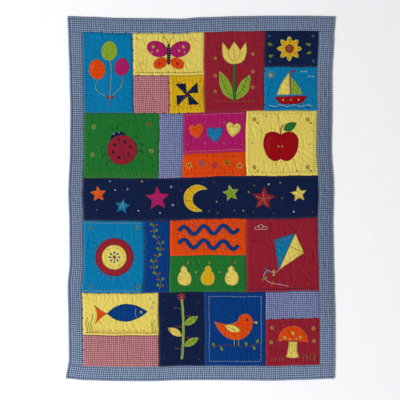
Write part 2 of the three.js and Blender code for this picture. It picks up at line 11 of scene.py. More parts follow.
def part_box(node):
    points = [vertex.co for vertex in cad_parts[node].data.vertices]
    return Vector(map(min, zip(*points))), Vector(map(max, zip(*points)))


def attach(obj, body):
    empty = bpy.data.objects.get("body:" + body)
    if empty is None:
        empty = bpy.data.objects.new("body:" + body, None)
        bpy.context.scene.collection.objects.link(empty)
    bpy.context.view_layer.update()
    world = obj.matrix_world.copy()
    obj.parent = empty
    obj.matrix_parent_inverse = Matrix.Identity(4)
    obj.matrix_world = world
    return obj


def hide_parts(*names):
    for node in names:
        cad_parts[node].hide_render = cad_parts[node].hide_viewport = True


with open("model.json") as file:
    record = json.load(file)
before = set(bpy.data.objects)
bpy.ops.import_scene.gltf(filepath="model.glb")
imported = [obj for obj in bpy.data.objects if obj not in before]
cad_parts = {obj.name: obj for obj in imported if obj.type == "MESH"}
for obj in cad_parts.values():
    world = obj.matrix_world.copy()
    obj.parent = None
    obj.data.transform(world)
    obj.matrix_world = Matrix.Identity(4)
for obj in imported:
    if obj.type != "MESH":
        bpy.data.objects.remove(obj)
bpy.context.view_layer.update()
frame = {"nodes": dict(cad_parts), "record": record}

# A baby's patchwork quilt with sewn-on motifs, lying face up.
# The quilt is laid out in millimetres on its flat cloth: u across from the left edge, v down from
# the head end. layCloth carries a flat place to the quilt as it lies, x to the right and y towards
# the head. Meshes are made in millimetres and brought to metres when they are finished.

quilt = {
    "width": 873.0,
    "length": 1200.0,
    "border": 48.0,
    "binding": 9.0,
    "loft": 7.0,          # height of a wadded patch
    "borderLoft": 6.2,
    "seamHeight": 4.4,    # where a seam pinches the layers
    "seamRoll": 9.0,      # how far from a seam a patch is back at its full height
    "seamGap": 0.15,      # between a seam and the cloth on each side of it
    "edgeInset": 2.3,     # the border's raw edge, inside the binding's fold
    "edgeHeight": 1.3,    # of that edge, over the fold's lower layer
    "edgePast": 0.3,      # from the end of the lower layer to the border's underside
    "fill": 0.25,         # of a patch's wadding, from 0, slack, to 1, tight
    "borderFill": 0.2,
    "faceSize": 2.45,     # of the patchwork's mesh
    "drift": 1.6,         # how far the seams wander
    "driftWaves": ((62, 140), (71, 160)),    # mm to a radian, for moves across and down
    "crooked": 0.7,       # hand sewing, over a few centimetres
    "crookedWaves": ((17, 29), (19, 33)),
    "skew": 5.0,          # halfway down, seams lie this much lower at the left, higher at the right
}

# How far the worn quilt's edge strays outwards from a true rectangle
longEdges = {
    "down": (0, 75, 200, 310, 440, 575, 690, 805, 890, 1000, 1130, 1200),
    "left": (4.6, 1.7, -2.2, -4.6, -3.3, 1.7, -1.5, -2.3, 4.0, 1.6, 0.4, 9.9),
    "right": (6.3, 1.5, -4.5, -4.0, -6.3, 1.3, -1.2, 0.8, 3.2, 5.6, 5.6, 4.0),
}
shortEdges = {
    "across": (0, 70, 165, 270, 365, 440, 560, 665, 765, 873),
    "head": (2.6, 0.3, -3.6, -4.6, -6.0, -1.2, 2.3, 3.6, 3.6, 2.3),
    "foot": (-5.0, 0.7, 3.0, 3.6, 0.6, -0.3, 0.3, 1.7, -1.0, -5.0),
}

# The patchwork, measured inside the border, and the motifs on each patch
patches = {
    "balloon_patch": {
        "across": (0, 165), "down": (0, 265), "cloth": "turquoise",
        "motifs": ("balloon_low", "balloon_high", "balloon_right"),
    },
    "butterfly_patch": {
        "across": (165, 400), "down": (0, 140), "cloth": "yellow",
        "motifs": (
            "butterfly_body", "butterfly_wing_left", "butterfly_wing_right",
            "butterfly_tail_left", "butterfly_tail_right",
        ),
    },
    "rose_check_head": {"across": (165, 285), "down": (140, 265), "cloth": "roseCheck"},
    "pinwheel_patch": {
        "across": (285, 400), "down": (140, 265), "cloth": "gold", "motifs": ("pinwheel",),
    },
    "tulip_patch": {
        "across": (400, 600), "down": (0, 265), "cloth": "crimson",
        "motifs": ("tulip_cup", "tulip_stalk", "tulip_leaf_left", "tulip_leaf_right"),
    },
    "daisy_patch": {
        "across": (600, 777), "down": (0, 120), "cloth": "navy", "motifs": ("daisy", "daisy_eye"),
    },
    "boat_patch": {
        "across": (600, 777), "down": (120, 265), "cloth": "turquoise",
        "motifs": ("boat_hull", "boat_sail_left", "boat_sail_right"),
    },
    "ladybird_patch": {
        "across": (0, 250), "down": (265, 480), "cloth": "green",
        "motifs": ("ladybird", "ladybird_head"),
    },
    "mauve_check_strip": {"across": (250, 330), "down": (265, 480), "cloth": "mauveCheck"},
    "hearts_patch": {
        "across": (330, 540), "down": (265, 400), "cloth": "magenta",
        "motifs": ("heart_left", "heart_middle", "heart_right"),
    },
    "knot_patch": {"across": (330, 540), "down": (400, 480), "cloth": "orange"},
    "apple_patch": {
        "across": (540, 777), "down": (265, 480), "cloth": "yellow",
        "motifs": ("apple", "apple_leaf"),
    },
    "night_band": {
        "across": (0, 777), "down": (480, 620), "cloth": "navy",
        "motifs": (
            "star_far_left", "star_left", "star_near_left", "moon",
            "star_near_right", "star_right", "star_far_right",
        ),
    },
    "penny_patch": {
        "across": (0, 200), "down": (620, 860), "cloth": "turquoise",
        "motifs": ("penny_large", "penny_small"),
    },
    "vine_strip": {"across": (200, 285), "down": (620, 860), "cloth": "royal"},
    "wave_patch": {
        "across": (285, 540), "down": (620, 740), "cloth": "orange",
        "motifs": ("wave_upper", "wave_lower"),
    },
    "pear_patch": {
        "across": (285, 540), "down": (740, 860), "cloth": "green",
        "motifs": ("pear_left", "pear_middle", "pear_right"),
    },
    "kite_patch": {
        "across": (540, 777), "down": (620, 860), "cloth": "crimson",
        "motifs": ("kite_left", "kite_right"),
    },
    "fish_patch": {
        "across": (0, 250), "down": (860, 1000), "cloth": "yellow", "motifs": ("fish", "fish_tail"),
    },
    "rose_check_foot": {"across": (0, 250), "down": (1000, 1104), "cloth": "roseCheck"},
    "sprig_patch": {
        "across": (250, 400), "down": (860, 1104), "cloth": "navy",
        "motifs": ("sprig_stalk", "sprig_leaf_low", "sprig_leaf_middle", "sprig_leaf_high"),
    },
    "bird_patch": {
        "across": (400, 600), "down": (860, 1104), "cloth": "royal",
        "motifs": ("bird", "bird_wing"),
    },
    "mauve_check_foot": {"across": (600, 777), "down": (860, 950), "cloth": "mauveCheck"},
    "mushroom_patch": {
        "across": (600, 777), "down": (950, 1104), "cloth": "crimson",
        "motifs": ("mushroom_cap", "mushroom_stalk"),
    },
}
topLayer = ("daisy_eye", "penny_small", "bird_wing")  # sewn onto another motif


# Where the cloth lies

def eased(share):
    share = np.clip(share, 0, 1)
    return share * share * (3 - 2 * share)


def fromTable(table, key, at, column):
    places = np.array(table[key], float)
    values = np.array(table[column], float)
    row = np.clip(np.searchsorted(places, at), 1, len(places) - 1)
    share = eased((at - places[row - 1]) / (places[row] - places[row - 1]))
    return values[row - 1] + (values[row] - values[row - 1]) * share


def wavy(lengths, along, aside):
    return np.sin(along / lengths[0] + aside / lengths[1])


def spreadOut(u, v):
    fromLeft, fromHead = u / quilt["width"], v / quilt["length"]
    between = np.sin(np.pi * np.clip(fromHead, 0, 1))
    inside = np.sin(np.pi * np.clip(fromLeft, 0, 1)) * between
    wander = quilt["drift"] * inside
    sewn = quilt["crooked"] * eased(inside * 6)
    x = (
        u
        - fromTable(longEdges, "down", v, "left") * (1 - fromLeft) ** 2
        + fromTable(longEdges, "down", v, "right") * fromLeft ** 2
        + wander * wavy(quilt["driftWaves"][0], v, u)
        + sewn * wavy(quilt["crookedWaves"][0], v, u)
    )
    y = (
        v
        - fromTable(shortEdges, "across", u, "head") * (1 - fromHead) ** 2
        + fromTable(shortEdges, "across", u, "foot") * fromHead ** 2
        + wander * wavy(quilt["driftWaves"][1], u, v)
        + sewn * wavy(quilt["crookedWaves"][1], u, v)
        - quilt["skew"] * (2 * fromLeft - 1) * between
    )
    return x, y


def middleOfPatch(name):
    across, down = patches[name]["across"], patches[name]["down"]
    return quilt["border"] + sum(across) / 2, quilt["border"] + sum(down) / 2


# The round motif's solid shows where the flat cloth's own zero lies in the frame
pennyLow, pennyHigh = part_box("penny_large")
pennyMiddle = (pennyLow + pennyHigh) / 2 * 1000    # metres to millimetres
pennyFlat = spreadOut(*(np.array([place]) for place in middleOfPatch("penny_patch")))
shift = (pennyMiddle.x - pennyFlat[0][0], pennyMiddle.y + pennyFlat[1][0])


def layCloth(u, v):
    x, y = spreadOut(np.asarray(u, float), np.asarray(v, float))
    return x + shift[0], shift[1] - y


def flatPlace(x, y):
    x, y = np.asarray(x, float), np.asarray(y, float)
    u, v = x - shift[0], shift[1] - y
    for _ in range(4):
        nowX, nowY = layCloth(u, v)
        u, v = u + x - nowX, v - y + nowY
    return u, v


# How high the face stands

relief = {
    "puckerDepth": 0.5,
    "puckerReach": 12.0,
    "puckerWaves": (10.5, 15.7, 27.1),    # mm from one to the next, in three sets
    "creaseDepth": (0.7, 1.7),
    "creaseLength": (28, 84),
    "creaseMost": 0.7,            # the longest crease, against the patch's short side
    "creaseWidth": (1.8, 3.4),
    "creaseBow": 6,               # how far a crease bows, to either side
    "creaseArea": 1100,           # one crease for this much cloth
    "creasePlace": (0.06, 0.94),  # where its middle lies, over the patch
    "ridge": (0.45, 1.8),         # beside a crease: its height, and how many widths away
    "rumpled": (0.6, 1.25),       # how deep creases are, at the quilt's left edge and its right
    "upright": (0.6, 0.15),       # the share that run down the quilt, at the left and the right
    "uprightTurn": (1.25, 1.9),   # which way those run, in radians
    "inwardTurn": 0.4,            # how far the others stray from running to the patch's middle
    "rib": 0.2,                   # faint ribs down the cloth, fading to the right
    "swell": 0.5,                 # slow unevenness of the wadding
    "pinch": 0.9,                 # how deep a satin-stitched edge pulls in
    "pinchReach": 2.8,
    "fan": 0.7,                   # the short troughs that run out from it
    "fanReach": 8.0,
    "fanWave": 12.5,              # mm from one trough to the next
}


class Face:
    # outer lists the sides that run under the binding, of left, right, head and foot
    def __init__(self, name, across, down, loft, outer=()):
        self.name = name
        self.across = across
        self.down = down
        self.loft = loft
        self.outer = outer
        dice = random.Random(name)
        self.phases = [[dice.uniform(0, 6.28) for _ in range(5)] for _ in range(4)]
        self.creases = self.makeCreases(dice)
        self.tree = None
        self.runs = []

    def makeCreases(self, dice):
        wide, long = self.across[1] - self.across[0], self.down[1] - self.down[0]
        fromLeft = sum(self.across) / 2 / quilt["width"]
        rumpled, straight = [
            left + (right - left) * fromLeft
            for left, right in (relief["rumpled"], relief["upright"])
        ]
        longest = relief["creaseMost"] * min(wide, long)
        bow, stray = relief["creaseBow"], relief["inwardTurn"]
        creases = []
        for _ in range(round(wide * long / relief["creaseArea"])):
            u = self.across[0] + wide * dice.uniform(*relief["creasePlace"])
            v = self.down[0] + long * dice.uniform(*relief["creasePlace"])
            if dice.random() < straight:
                turn = dice.uniform(*relief["uprightTurn"])
            else:
                inwards = math.atan2(sum(self.down) / 2 - v, sum(self.across) / 2 - u)
                turn = inwards + dice.uniform(-stray, stray)
            creases.append(
                {
                    "u": u,
                    "v": v,
                    "turn": turn,
                    "length": min(dice.uniform(*relief["creaseLength"]), longest),
                    "width": dice.uniform(*relief["creaseWidth"]),
                    "depth": dice.uniform(*relief["creaseDepth"]) * rumpled,
                    "bow": dice.uniform(-bow, bow),
                }
            )
        return creases

    # how far in from each side; the wadding is soon at its height beside the binding
    def sides(self, u, v):
        rim = quilt["binding"]
        found = [u - self.across[0], self.across[1] - u, v - self.down[0], self.down[1] - v]
        return [
            np.clip((side - rim) * 5 if k in self.outer else side, 0, None)
            for k, side in enumerate(found)
        ]

    # side is how far in from one seam, along how far down it
    def puckers(self, side, along, phases):
        place = along + 0.5 * np.sin(along / 47 + phases[3]) * side
        fine, middling, broad = (place * 2 * np.pi / wave for wave in relief["puckerWaves"])
        wave = (
            np.sin(fine + phases[0] + 1.4 * np.sin(along / 41))
            + 0.8 * np.sin(middling + phases[1])
            + 0.7 * np.sin(broad + phases[2])
        )
        reach = relief["puckerReach"] * (1 + 0.4 * np.sin(along / 29 + phases[4]))
        fade = (side / reach) * np.exp(1 - side / reach)
        return relief["puckerDepth"] * np.clip(wave, -0.4, None) * fade

    def creaseDepth(self, u, v):
        total = np.zeros_like(u)
        ridgeHeight, ridgeOff = relief["ridge"]
        for crease in self.creases:
            alongX, alongY = math.cos(crease["turn"]), math.sin(crease["turn"])
            run = (u - crease["u"]) * alongX + (v - crease["v"]) * alongY
            share = np.clip(run / crease["length"] + 0.5, 0, 1)
            taper = np.sin(np.pi * share)
            off = (v - crease["v"]) * alongX - (u - crease["u"]) * alongY - crease["bow"] * taper
            off = off / crease["width"]
            trough = np.exp(-(off**2))
            ridge = ridgeHeight * np.exp(-((off - ridgeOff) ** 2))
            total += crease["depth"] * (trough - ridge) * np.clip(taper, 0, 1) ** 0.8
        return total

    def aroundMotifs(self, u, v):
        if not self.tree:
            return np.zeros_like(u)
        x, y = layCloth(u, v)
        found = [self.tree.find((*place, 0)) for place in zip(x.tolist(), y.tolist())]
        away = np.array([distance for _, _, distance in found])
        run = np.array([self.runs[index] for _, index, _ in found])
        wave = np.sin(run * 2 * np.pi / relief["fanWave"] + 1.6 * np.sin(run / 9))
        wave = wave + 0.6 * np.sin(run / 3.4)
        outwards = away / relief["fanReach"]
        fan = np.clip(wave, -0.3, None) * outwards * np.exp(1 - outwards)
        pinch = np.exp(-((away / relief["pinchReach"]) ** 2))
        return relief["pinch"] * pinch + relief["fan"] * fan

    # outlines are the motifs' edges, and runs says how far round its edge each point is
    def stitchDown(self, outlines):
        self.tree = KDTree(sum(len(outline) for outline in outlines))
        for outline in outlines:
            run = 0
            for k, point in enumerate(outline):
                run += (point - outline[k - 1]).length
                self.tree.insert((point.x, point.y, 0), len(self.runs))
                self.runs.append(run)
        self.tree.balance()

    def inset(self, u, v):
        return np.minimum.reduce(self.sides(u, v))

    def height(self, u, v):
        u, v = np.atleast_1d(u).astype(float), np.atleast_1d(v).astype(float)
        roll = np.sin(np.clip(self.inset(u, v) / quilt["seamRoll"], 0, 1) * np.pi / 2) ** 0.8
        swell = (
            np.sin(u / 23 + 1.3 * np.sin(v / 31))
            + np.sin(v / 27 + 1.1 * np.sin(u / 37))
            + 0.6 * np.sin((u + v) / 17)
        )
        rib = np.sin(u / 1.5 + 2.2 * np.sin(v / 43) + 1.5 * np.sin(u / 11)) * wavy((29, 13), v, u)
        rib = rib * np.clip(1.2 - u / quilt["width"], 0, 1)
        face = self.loft + relief["swell"] * swell / 2 + relief["rib"] * rib
        face = face - self.creaseDepth(u, v) - self.aroundMotifs(u, v)
        for side, along, phases in zip(self.sides(u, v), (v, v, u, u), self.phases):
            face = face - self.puckers(side, along, phases)
        return quilt["seamHeight"] + (face - quilt["seamHeight"]) * roll

    def heightAt(self, x, y):
        return self.height(*flatPlace(x, y))


# Finishes

def dyed(red, green, blue):
    def linear(level):
        level /= 255
        return level / 12.92 if level <= 0.04045 else ((level + 0.055) / 1.055) ** 2.4
    return (linear(red), linear(green), linear(blue), 1)


dyes = {
    "yellow": dyed(199, 181, 85),
    "gold": dyed(188, 149, 18),
    "apricot": dyed(206, 98, 40),
    "orange": dyed(193, 60, 6),
    "red": dyed(134, 4, 14),
    "crimson": dyed(127, 24, 40),
    "magenta": dyed(150, 20, 85),
    "green": dyed(25, 97, 37),
    "lime": dyed(114, 142, 34),
    "paleLime": dyed(150, 170, 82),
    "turquoise": dyed(1, 104, 148),
    "royal": dyed(1, 48, 107),
    "navy": dyed(11, 24, 56),
    "brown": dyed(104, 52, 28),
    "white": dyed(226, 224, 216),
    "backing": dyed(206, 202, 190),
}


class Wire:
    # a socket that takes part in sums
    def __init__(self, finish, socket):
        self.finish = finish
        self.socket = socket

    def maths(self, operation, *others):
        values = {0: self}
        values.update({k + 1: other for k, other in enumerate(others)})
        return self.finish.add("ShaderNodeMath", {"operation": operation}, values)

    def __add__(self, other):
        return self.maths("ADD", other)

    def __radd__(self, other):
        return self + other

    def __sub__(self, other):
        return self.maths("SUBTRACT", other)

    def __rsub__(self, other):
        return self * -1 + other

    def __mul__(self, other):
        return self.maths("MULTIPLY", other)

    def __rmul__(self, other):
        return self * other

    def sine(self):
        return self.maths("SINE")

    def size(self):
        return self.maths("ABSOLUTE")

    def clipped(self):
        settings = {"operation": "ADD", "use_clamp": True}
        return self.finish.add("ShaderNodeMath", settings, {0: self, 1: 0.0})


class Finish:
    def __init__(self, name):
        self.material = bpy.data.materials.new(name)
        self.material.use_nodes = True
        self.tree = self.material.node_tree
        self.tree.nodes.clear()

    def add(self, kind, settings=None, sockets=None, out=0):
        node = self.tree.nodes.new(kind)
        for name, setting in (settings or {}).items():
            setattr(node, name, setting)
        for name, value in (sockets or {}).items():
            if isinstance(value, Wire):
                self.tree.links.new(value.socket, node.inputs[name])
            else:
                node.inputs[name].default_value = value
        return Wire(self, node.outputs[out]) if node.outputs else node

    def mix(self, first, second, factor, blend="MIX"):
        return self.add(
            "ShaderNodeMix",
            {"data_type": "RGBA", "blend_type": blend},
            {0: factor, 6: first, 7: second},
            out=2,
        )

    def noise(self, place, scale, detail=2.0, roughness=0.5):
        return self.add(
            "ShaderNodeTexNoise",
            {},
            {"Vector": place, "Scale": scale, "Detail": detail, "Roughness": roughness},
        )

    def stretched(self, place, scale):
        return self.add("ShaderNodeMapping", {}, {"Vector": place, "Scale": scale})

    def parted(self, place):
        first = self.add("ShaderNodeSeparateXYZ", {}, {0: place})
        return first, Wire(self, first.socket.node.outputs[1])

    # metres, in the frame that the quilt lies in
    def quiltPlace(self):
        return self.add("ShaderNodeTexCoord", {}, out=3)

    # the flat cloth's own millimetres
    def clothPlace(self):
        place = self.add("ShaderNodeUVMap", {"uv_map": "cloth"})
        return place, *self.parted(place)

    def shaded(self, colour, shade):
        tint = self.add("ShaderNodeCombineColor", {}, {0: shade, 1: shade, 2: shade})
        return self.mix(colour, tint, 1.0, "MULTIPLY")

    def surface(self, colour, roughness, height, depth, settings):
        bump = self.add("ShaderNodeBump", {}, {"Height": height, "Distance": depth})
        sockets = {"Base Color": colour, "Roughness": roughness, "Normal": bump}
        sockets.update(settings)
        shader = self.add("ShaderNodeBsdfPrincipled", {}, sockets)
        self.add("ShaderNodeOutputMaterial", {}, {"Surface": shader})
        return self.material


cotton = {
    "threadPitch": 0.62,        # mm, between neighbouring warp threads
    "slub": 0.07,               # how much thicker threads show
    "slubScale": (1.1, 0.025),  # across the threads and along them
    "fade": 0.13,               # washed unevenness over the cloth
    "fadeScale": 0.012,
    "fuzzScale": 0.9,
    "speckle": 0.1,             # how much the weave and the fuzz show in the colour
    "wrinkle": 2.2,             # fine wrinkles, against the weave's own height
    "wrinkleScale": (0.1, 0.03, 1),
    "rub": 0.02,                # paler where a seam's edge has rubbed
    "rubReach": 2.0,            # mm, in from the seam
    "rubColour": (1.0, 0.98, 0.94, 1),
    "roughness": (0.82, 0.14),  # at the least, and how much more where the cloth is fuzzy
    "bump": 0.00022,
    "gloss": {"Sheen Weight": 0.015, "Sheen Roughness": 0.5, "Specular IOR Level": 0.06},
}


def weaveOf(finish, place, across, down):
    pitch = 2 * math.pi / cotton["threadPitch"]
    warp = (across * pitch).sine()
    weft = (down * pitch).sine()
    fast, slow = cotton["slubScale"]
    warpSlub = finish.noise(finish.stretched(place, (fast, slow, 1)), 1.0)
    weftSlub = finish.noise(finish.stretched(place, (slow, fast, 1)), 1.0)
    return warp * weft * 0.5 + 0.5, warpSlub * 0.5 + weftSlub * 0.5


def clothFrom(colour, finish, place, across, down):
    weave, slub = weaveOf(finish, place, across, down)
    fade = finish.noise(place, cotton["fadeScale"], 4.0, 0.6)
    fuzz = finish.noise(place, cotton["fuzzScale"], 3.0, 0.7)
    wrinkle = finish.noise(finish.stretched(place, cotton["wrinkleScale"]), 1.0, 2.0, 0.45)
    wrinkle = ((wrinkle - 0.5).size() * 8).clipped()
    wear = finish.add("ShaderNodeAttribute", {"attribute_name": "wear"}, out=2)
    rubbed = wear * fuzz * (2 * cotton["rub"])
    lighter = finish.mix(colour, cotton["rubColour"], rubbed.clipped())
    shade = (
        1
        + (fade - 0.5) * (2 * cotton["fade"])
        + (slub - 0.5) * (4 * cotton["slub"])
        + (weave - 0.5) * cotton["speckle"]
        + (fuzz - 0.5) * cotton["speckle"]
    )
    least, more = cotton["roughness"]
    height = weave * 0.6 + slub * 1.2 + fuzz * 0.5 + wrinkle * cotton["wrinkle"]
    return finish.surface(
        finish.shaded(lighter, shade), least + more * fuzz, height, cotton["bump"], cotton["gloss"]
    )


def clothFinish(name):
    finish = Finish(name + "_cotton")
    return clothFrom(dyes[name], finish, *finish.clothPlace())


ginghams = {
    "blueCheck": {"light": dyed(130, 146, 170), "dark": dyed(34, 48, 76), "repeat": 7.0},
    "mauveCheck": {"light": dyed(130, 138, 174), "dark": dyed(44, 54, 94), "repeat": 6.4},
    "roseCheck": {"light": dyed(188, 136, 138), "dark": dyed(100, 26, 44), "repeat": 6.4},
}
checkEdge = 5    # how sharply one colour meets the next

# Painted shade and painted light on the border's cloth, by where it lies on the quilt
borderPaintedLight = {
    "handledRight": 0.18,    # painted shade: how much darker halfway down the right side
    "handledLeft": 0.08,
    "handledReach": 0.4,     # m, up and down from halfway
    "washed": 0.15,          # painted light: how much paler along the foot
    "washedFrom": -0.38,     # m, where that starts and where it is full
    "washedTo": -0.58,
}


# Painted shade and light round the border: darker halfway down its sides, the right more than the left,
# and paler along its foot
def paintedLightRound(finish, colour):
    look = borderPaintedLight
    right, up = finish.parted(finish.quiltPlace())
    halfway = (1 - up * up * look["handledReach"] ** -2).clipped()
    sideways = right * (2000 / quilt["width"])
    footwards = (up - look["washedFrom"]) * (1 / (look["washedTo"] - look["washedFrom"]))
    shade = (
        1
        - sideways.clipped() * halfway * look["handledRight"]
        - (sideways * -1).clipped() * halfway * look["handledLeft"]
        + footwards.clipped() * look["washed"]
    )
    return finish.shaded(colour, shade)


def ginghamFinish(name):
    look = ginghams[name]
    finish = Finish(name + "_gingham")
    place, across, down = finish.clothPlace()
    turns = 2 * math.pi / look["repeat"]
    columns, lines = [
        ((way * turns).sine() * checkEdge + 0.5).clipped() for way in (across, down)
    ]
    colour = finish.mix(look["light"], look["dark"], (columns + lines) * 0.5)
    # the border's gingham gets painted shade down its sides and painted light along its foot
    if name == "blueCheck":
        colour = paintedLightRound(finish, colour)
    return clothFrom(colour, finish, place, across, down)


floss = {
    "pitch": 1.15,         # mm, between neighbouring satin stitches
    "strandScale": 900,    # of the fine unevenness of the strands
    "patchScale": 60,      # of the slow change in colour
    "between": 0.66,       # painted shade: how bright the colour is in the grooves between strands
    "ridge": 0.3,          # painted highlight: how much brighter the colour is on them
    "patchy": 0.3,
    "uneven": 0.16,
    "roughness": 0.62,
    "shine": 0.2,          # how much smoother the strands are than what lies between them
    "bump": 0.0005,
    "gloss": {"Sheen Weight": 0.03, "Sheen Roughness": 0.35, "Specular IOR Level": 0.2},
}


def flossFinish(name):
    finish = Finish(name + "_floss")
    run, _ = finish.parted(finish.add("ShaderNodeUVMap", {"uv_map": "thread"}))
    place = finish.quiltPlace()
    uneven = finish.noise(place, floss["strandScale"])
    patchy = finish.noise(place, floss["patchScale"], 3.0)
    ridge = (run * (math.pi / floss["pitch"]) + uneven * 1.6).sine().size()
    # painted shade between the strands and painted highlight on them, following the bump, along with
    # uneven tone
    shade = (
        floss["between"]
        + floss["ridge"] * ridge
        + floss["patchy"] * (patchy - 0.5)
        + floss["uneven"] * (uneven - 0.5)
    )
    colour = finish.shaded(dyes[name], shade)
    roughness = floss["roughness"] - floss["shine"] * ridge
    height = ridge + uneven * 0.4
    return finish.surface(colour, roughness, height, floss["bump"], floss["gloss"])


clothNames = {patch["cloth"] for patch in patches.values()} | {"lime", "red"}
cloths = {
    name: ginghamFinish(name) if name in ginghams else clothFinish(name)
    for name in sorted(clothNames | {"blueCheck", "backing"})
}
flosses = {name: flossFinish(name) for name in sorted(set(dyes) - {"backing"})}
slotOf = {part["node"]: part["material_slot"] for part in frame["record"]["subparts"]}


# Meshes

def placed(name, data):
    thing = bpy.data.objects.new(name, data)
    bpy.context.scene.collection.objects.link(thing)
    return thing


def meshed(name, mesh, finishes):
    data = bpy.data.meshes.new(name)
    mesh.to_mesh(data)
    mesh.free()
    for finish in finishes:
        data.materials.append(finish)
    return placed(name, data)


# A piece of the quilt, from millimetres to metres
def finished(name, mesh, finishes):
    bmesh.ops.scale(mesh, vec=(0.001, 0.001, 0.001), verts=mesh.verts)
    piece = meshed(name, mesh, finishes)
    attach(piece, "root")
    return piece


# A new grid's vertices, with how far each is from the grid's left and near edges, 0 to 1
def newGrid(mesh, columns, rows):
    made = bmesh.ops.create_grid(mesh, x_segments=columns, y_segments=rows, size=1)["verts"]
    share = np.array([vert.co[:2] for vert in made]) / 2 + 0.5
    return made, share[:, 0], share[:, 1]


def setPlaces(verts, x, y, z):
    for vert, *place in zip(verts, x.tolist(), y.tolist(), z.tolist()):
        vert.co = place


# The flat cloth's own places; first and second hold a value for each vertex, by its index
def setClothPlaces(mesh, first, second):
    mesh.verts.index_update()
    layer = mesh.loops.layers.uv.new("cloth")
    places = list(zip(first.tolist(), second.tolist()))
    for face in mesh.faces:
        for loop in face.loops:
            loop[layer].uv = places[loop.vert.index]


# The wadded patches and borders

def makePad(name, face, cloth):
    mesh = bmesh.new()
    wear = mesh.verts.layers.float.new("wear")
    left, right, head, foot = [
        quilt["edgeInset"] if side in face.outer else quilt["seamGap"] for side in range(4)
    ]
    across = face.across[0] + left, face.across[1] - right
    down = face.down[0] + head, face.down[1] - foot
    wide, long = across[1] - across[0], down[1] - down[0]
    columns, rows = round(wide / quilt["faceSize"]), round(long / quilt["faceSize"])
    verts, fromLeft, fromFoot = newGrid(mesh, columns, rows)
    u = across[0] + wide * fromLeft
    v = down[1] - long * fromFoot
    for vert, rubbed in zip(verts, np.exp(-face.inset(u, v) / cotton["rubReach"]).tolist()):
        vert[wear] = rubbed
    setPlaces(verts, u, v, face.height(u, v))
    # the wall goes down to a seam, or round the lower layer of the binding's fold
    past, over = quilt["binding"] + quilt["edgePast"], quilt["edgeHeight"]
    rings = [(0, over), (past, over), (past, 0)] if face.outer else [(0, 0)]
    rim = [edge for edge in mesh.edges if edge.is_boundary]
    for tuck, height in rings:
        made = bmesh.ops.extrude_edge_only(mesh, edges=rim)["geom"]
        rim = [part for part in made if isinstance(part, bmesh.types.BMEdge) and part.is_boundary]
        for vert in {vert for edge in rim for vert in edge.verts}:
            vert.co.z = height
            for side in face.outer:
                axis, far = divmod(side, 2)
                line = (face.across, face.down)[axis][far]
                if far:
                    vert.co[axis] = min(vert.co[axis], line - tuck)
                else:
                    vert.co[axis] = max(vert.co[axis], line + tuck)
    for part in mesh.faces:
        part.smooth = True
    bmesh.ops.remove_doubles(mesh, verts=mesh.verts, dist=0.001)
    rim = [edge for edge in mesh.edges if edge.is_boundary]
    for part in bmesh.ops.contextual_create(mesh, geom=rim)["faces"]:
        part.smooth = False
        part.material_index = 1
    for edge in rim:
        edge.smooth = False
    bmesh.ops.recalc_face_normals(mesh, faces=mesh.faces)
    u, v, height = np.array([vert.co[:] for vert in mesh.verts]).T
    setClothPlaces(mesh, u, v)
    setPlaces(mesh.verts, *layCloth(u, v), height)
    # v ran down the quilt and y runs up it, so the pad has turned inside out
    bmesh.ops.reverse_faces(mesh, faces=mesh.faces)
    pad = finished(name, mesh, [cloths[cloth], cloths["backing"]])
    return pad


# Motifs

motifCloth = {
    "spacing": 1.8,         # of the outline's points
    "lattice": 4.0,         # of the cloth's mesh
    "thickness": 0.6,
    "lift": 0.3,            # of its underside above the patch
    "secondLift": 1.2,      # where it lies on another motif
    "handCut": 0.35,        # how far the scissors stray
    "grain": 0.5,           # radians that the weave may be turned, to either side
    "narrowest": 10.0,      # cloth that the narrowest piece is cut from
    "fullness": 0.33,       # the least share of its rectangle that a cut piece fills
    "corner": 55,           # degrees of turn that stay a corner
    "softCorner": {"daisy": 75, "wave_upper": 75, "wave_lower": 75},
}


# The rim of a solid's upper face, once round, anticlockwise
def solidOutline(node):
    mesh = bmesh.new()
    mesh.from_mesh(frame["nodes"][node].data)
    bmesh.ops.remove_doubles(mesh, verts=mesh.verts, dist=1e-6)
    mesh.normal_update()
    following = {}
    for face in mesh.faces:
        if face.normal.z < 0.9:
            continue
        for loop in face.loops:
            if any(abs(other.normal.z) < 0.5 for other in loop.edge.link_faces):
                following[loop.vert] = loop.link_loop_next.vert
    start = here = next(iter(following))
    outline = []
    while True:
        outline.append(Vector(here.co[:2]) * 1000)
        here = following[here]
        if here == start:
            break
    mesh.free()
    return outline


def handCutOutline(node):
    points = solidOutline(node)
    count = len(points)
    limit = math.radians(motifCloth["softCorner"].get(node, motifCloth["corner"]))
    runs = [points[(k + 1) % count] - point for k, point in enumerate(points)]

    # the way the edge heads at a point, unless the point is a corner
    def heading(k, run):
        before, after = runs[(k - 1) % count], runs[k % count]
        if before.angle(after) > limit:
            return run.normalized()
        return (before.normalized() + after.normalized()).normalized()

    cut = []
    for k, (start, run) in enumerate(zip(points, runs)):
        end = start + run
        leaving = heading(k, run) * run.length
        arriving = heading(k + 1, run) * run.length
        steps = max(1, round(run.length / motifCloth["spacing"]))
        for step in range(steps):
            t = step / steps
            cut.append(
                start * (2 * t**3 - 3 * t**2 + 1)
                + leaving * (t**3 - 2 * t**2 + t)
                + end * (3 * t**2 - 2 * t**3)
                + arriving * (t**3 - t**2)
            )
    stray = motifCloth["handCut"]
    return [
        point + stray * Vector((math.sin(point.y / 6 + count), math.sin(point.x / 7 + 2 * count)))
        for point in cut
    ]


def clothOf(node):
    return slotOf[node].replace("_cloth", "")


def liftOf(node):
    return motifCloth["secondLift" if node in topLayer else "lift"]


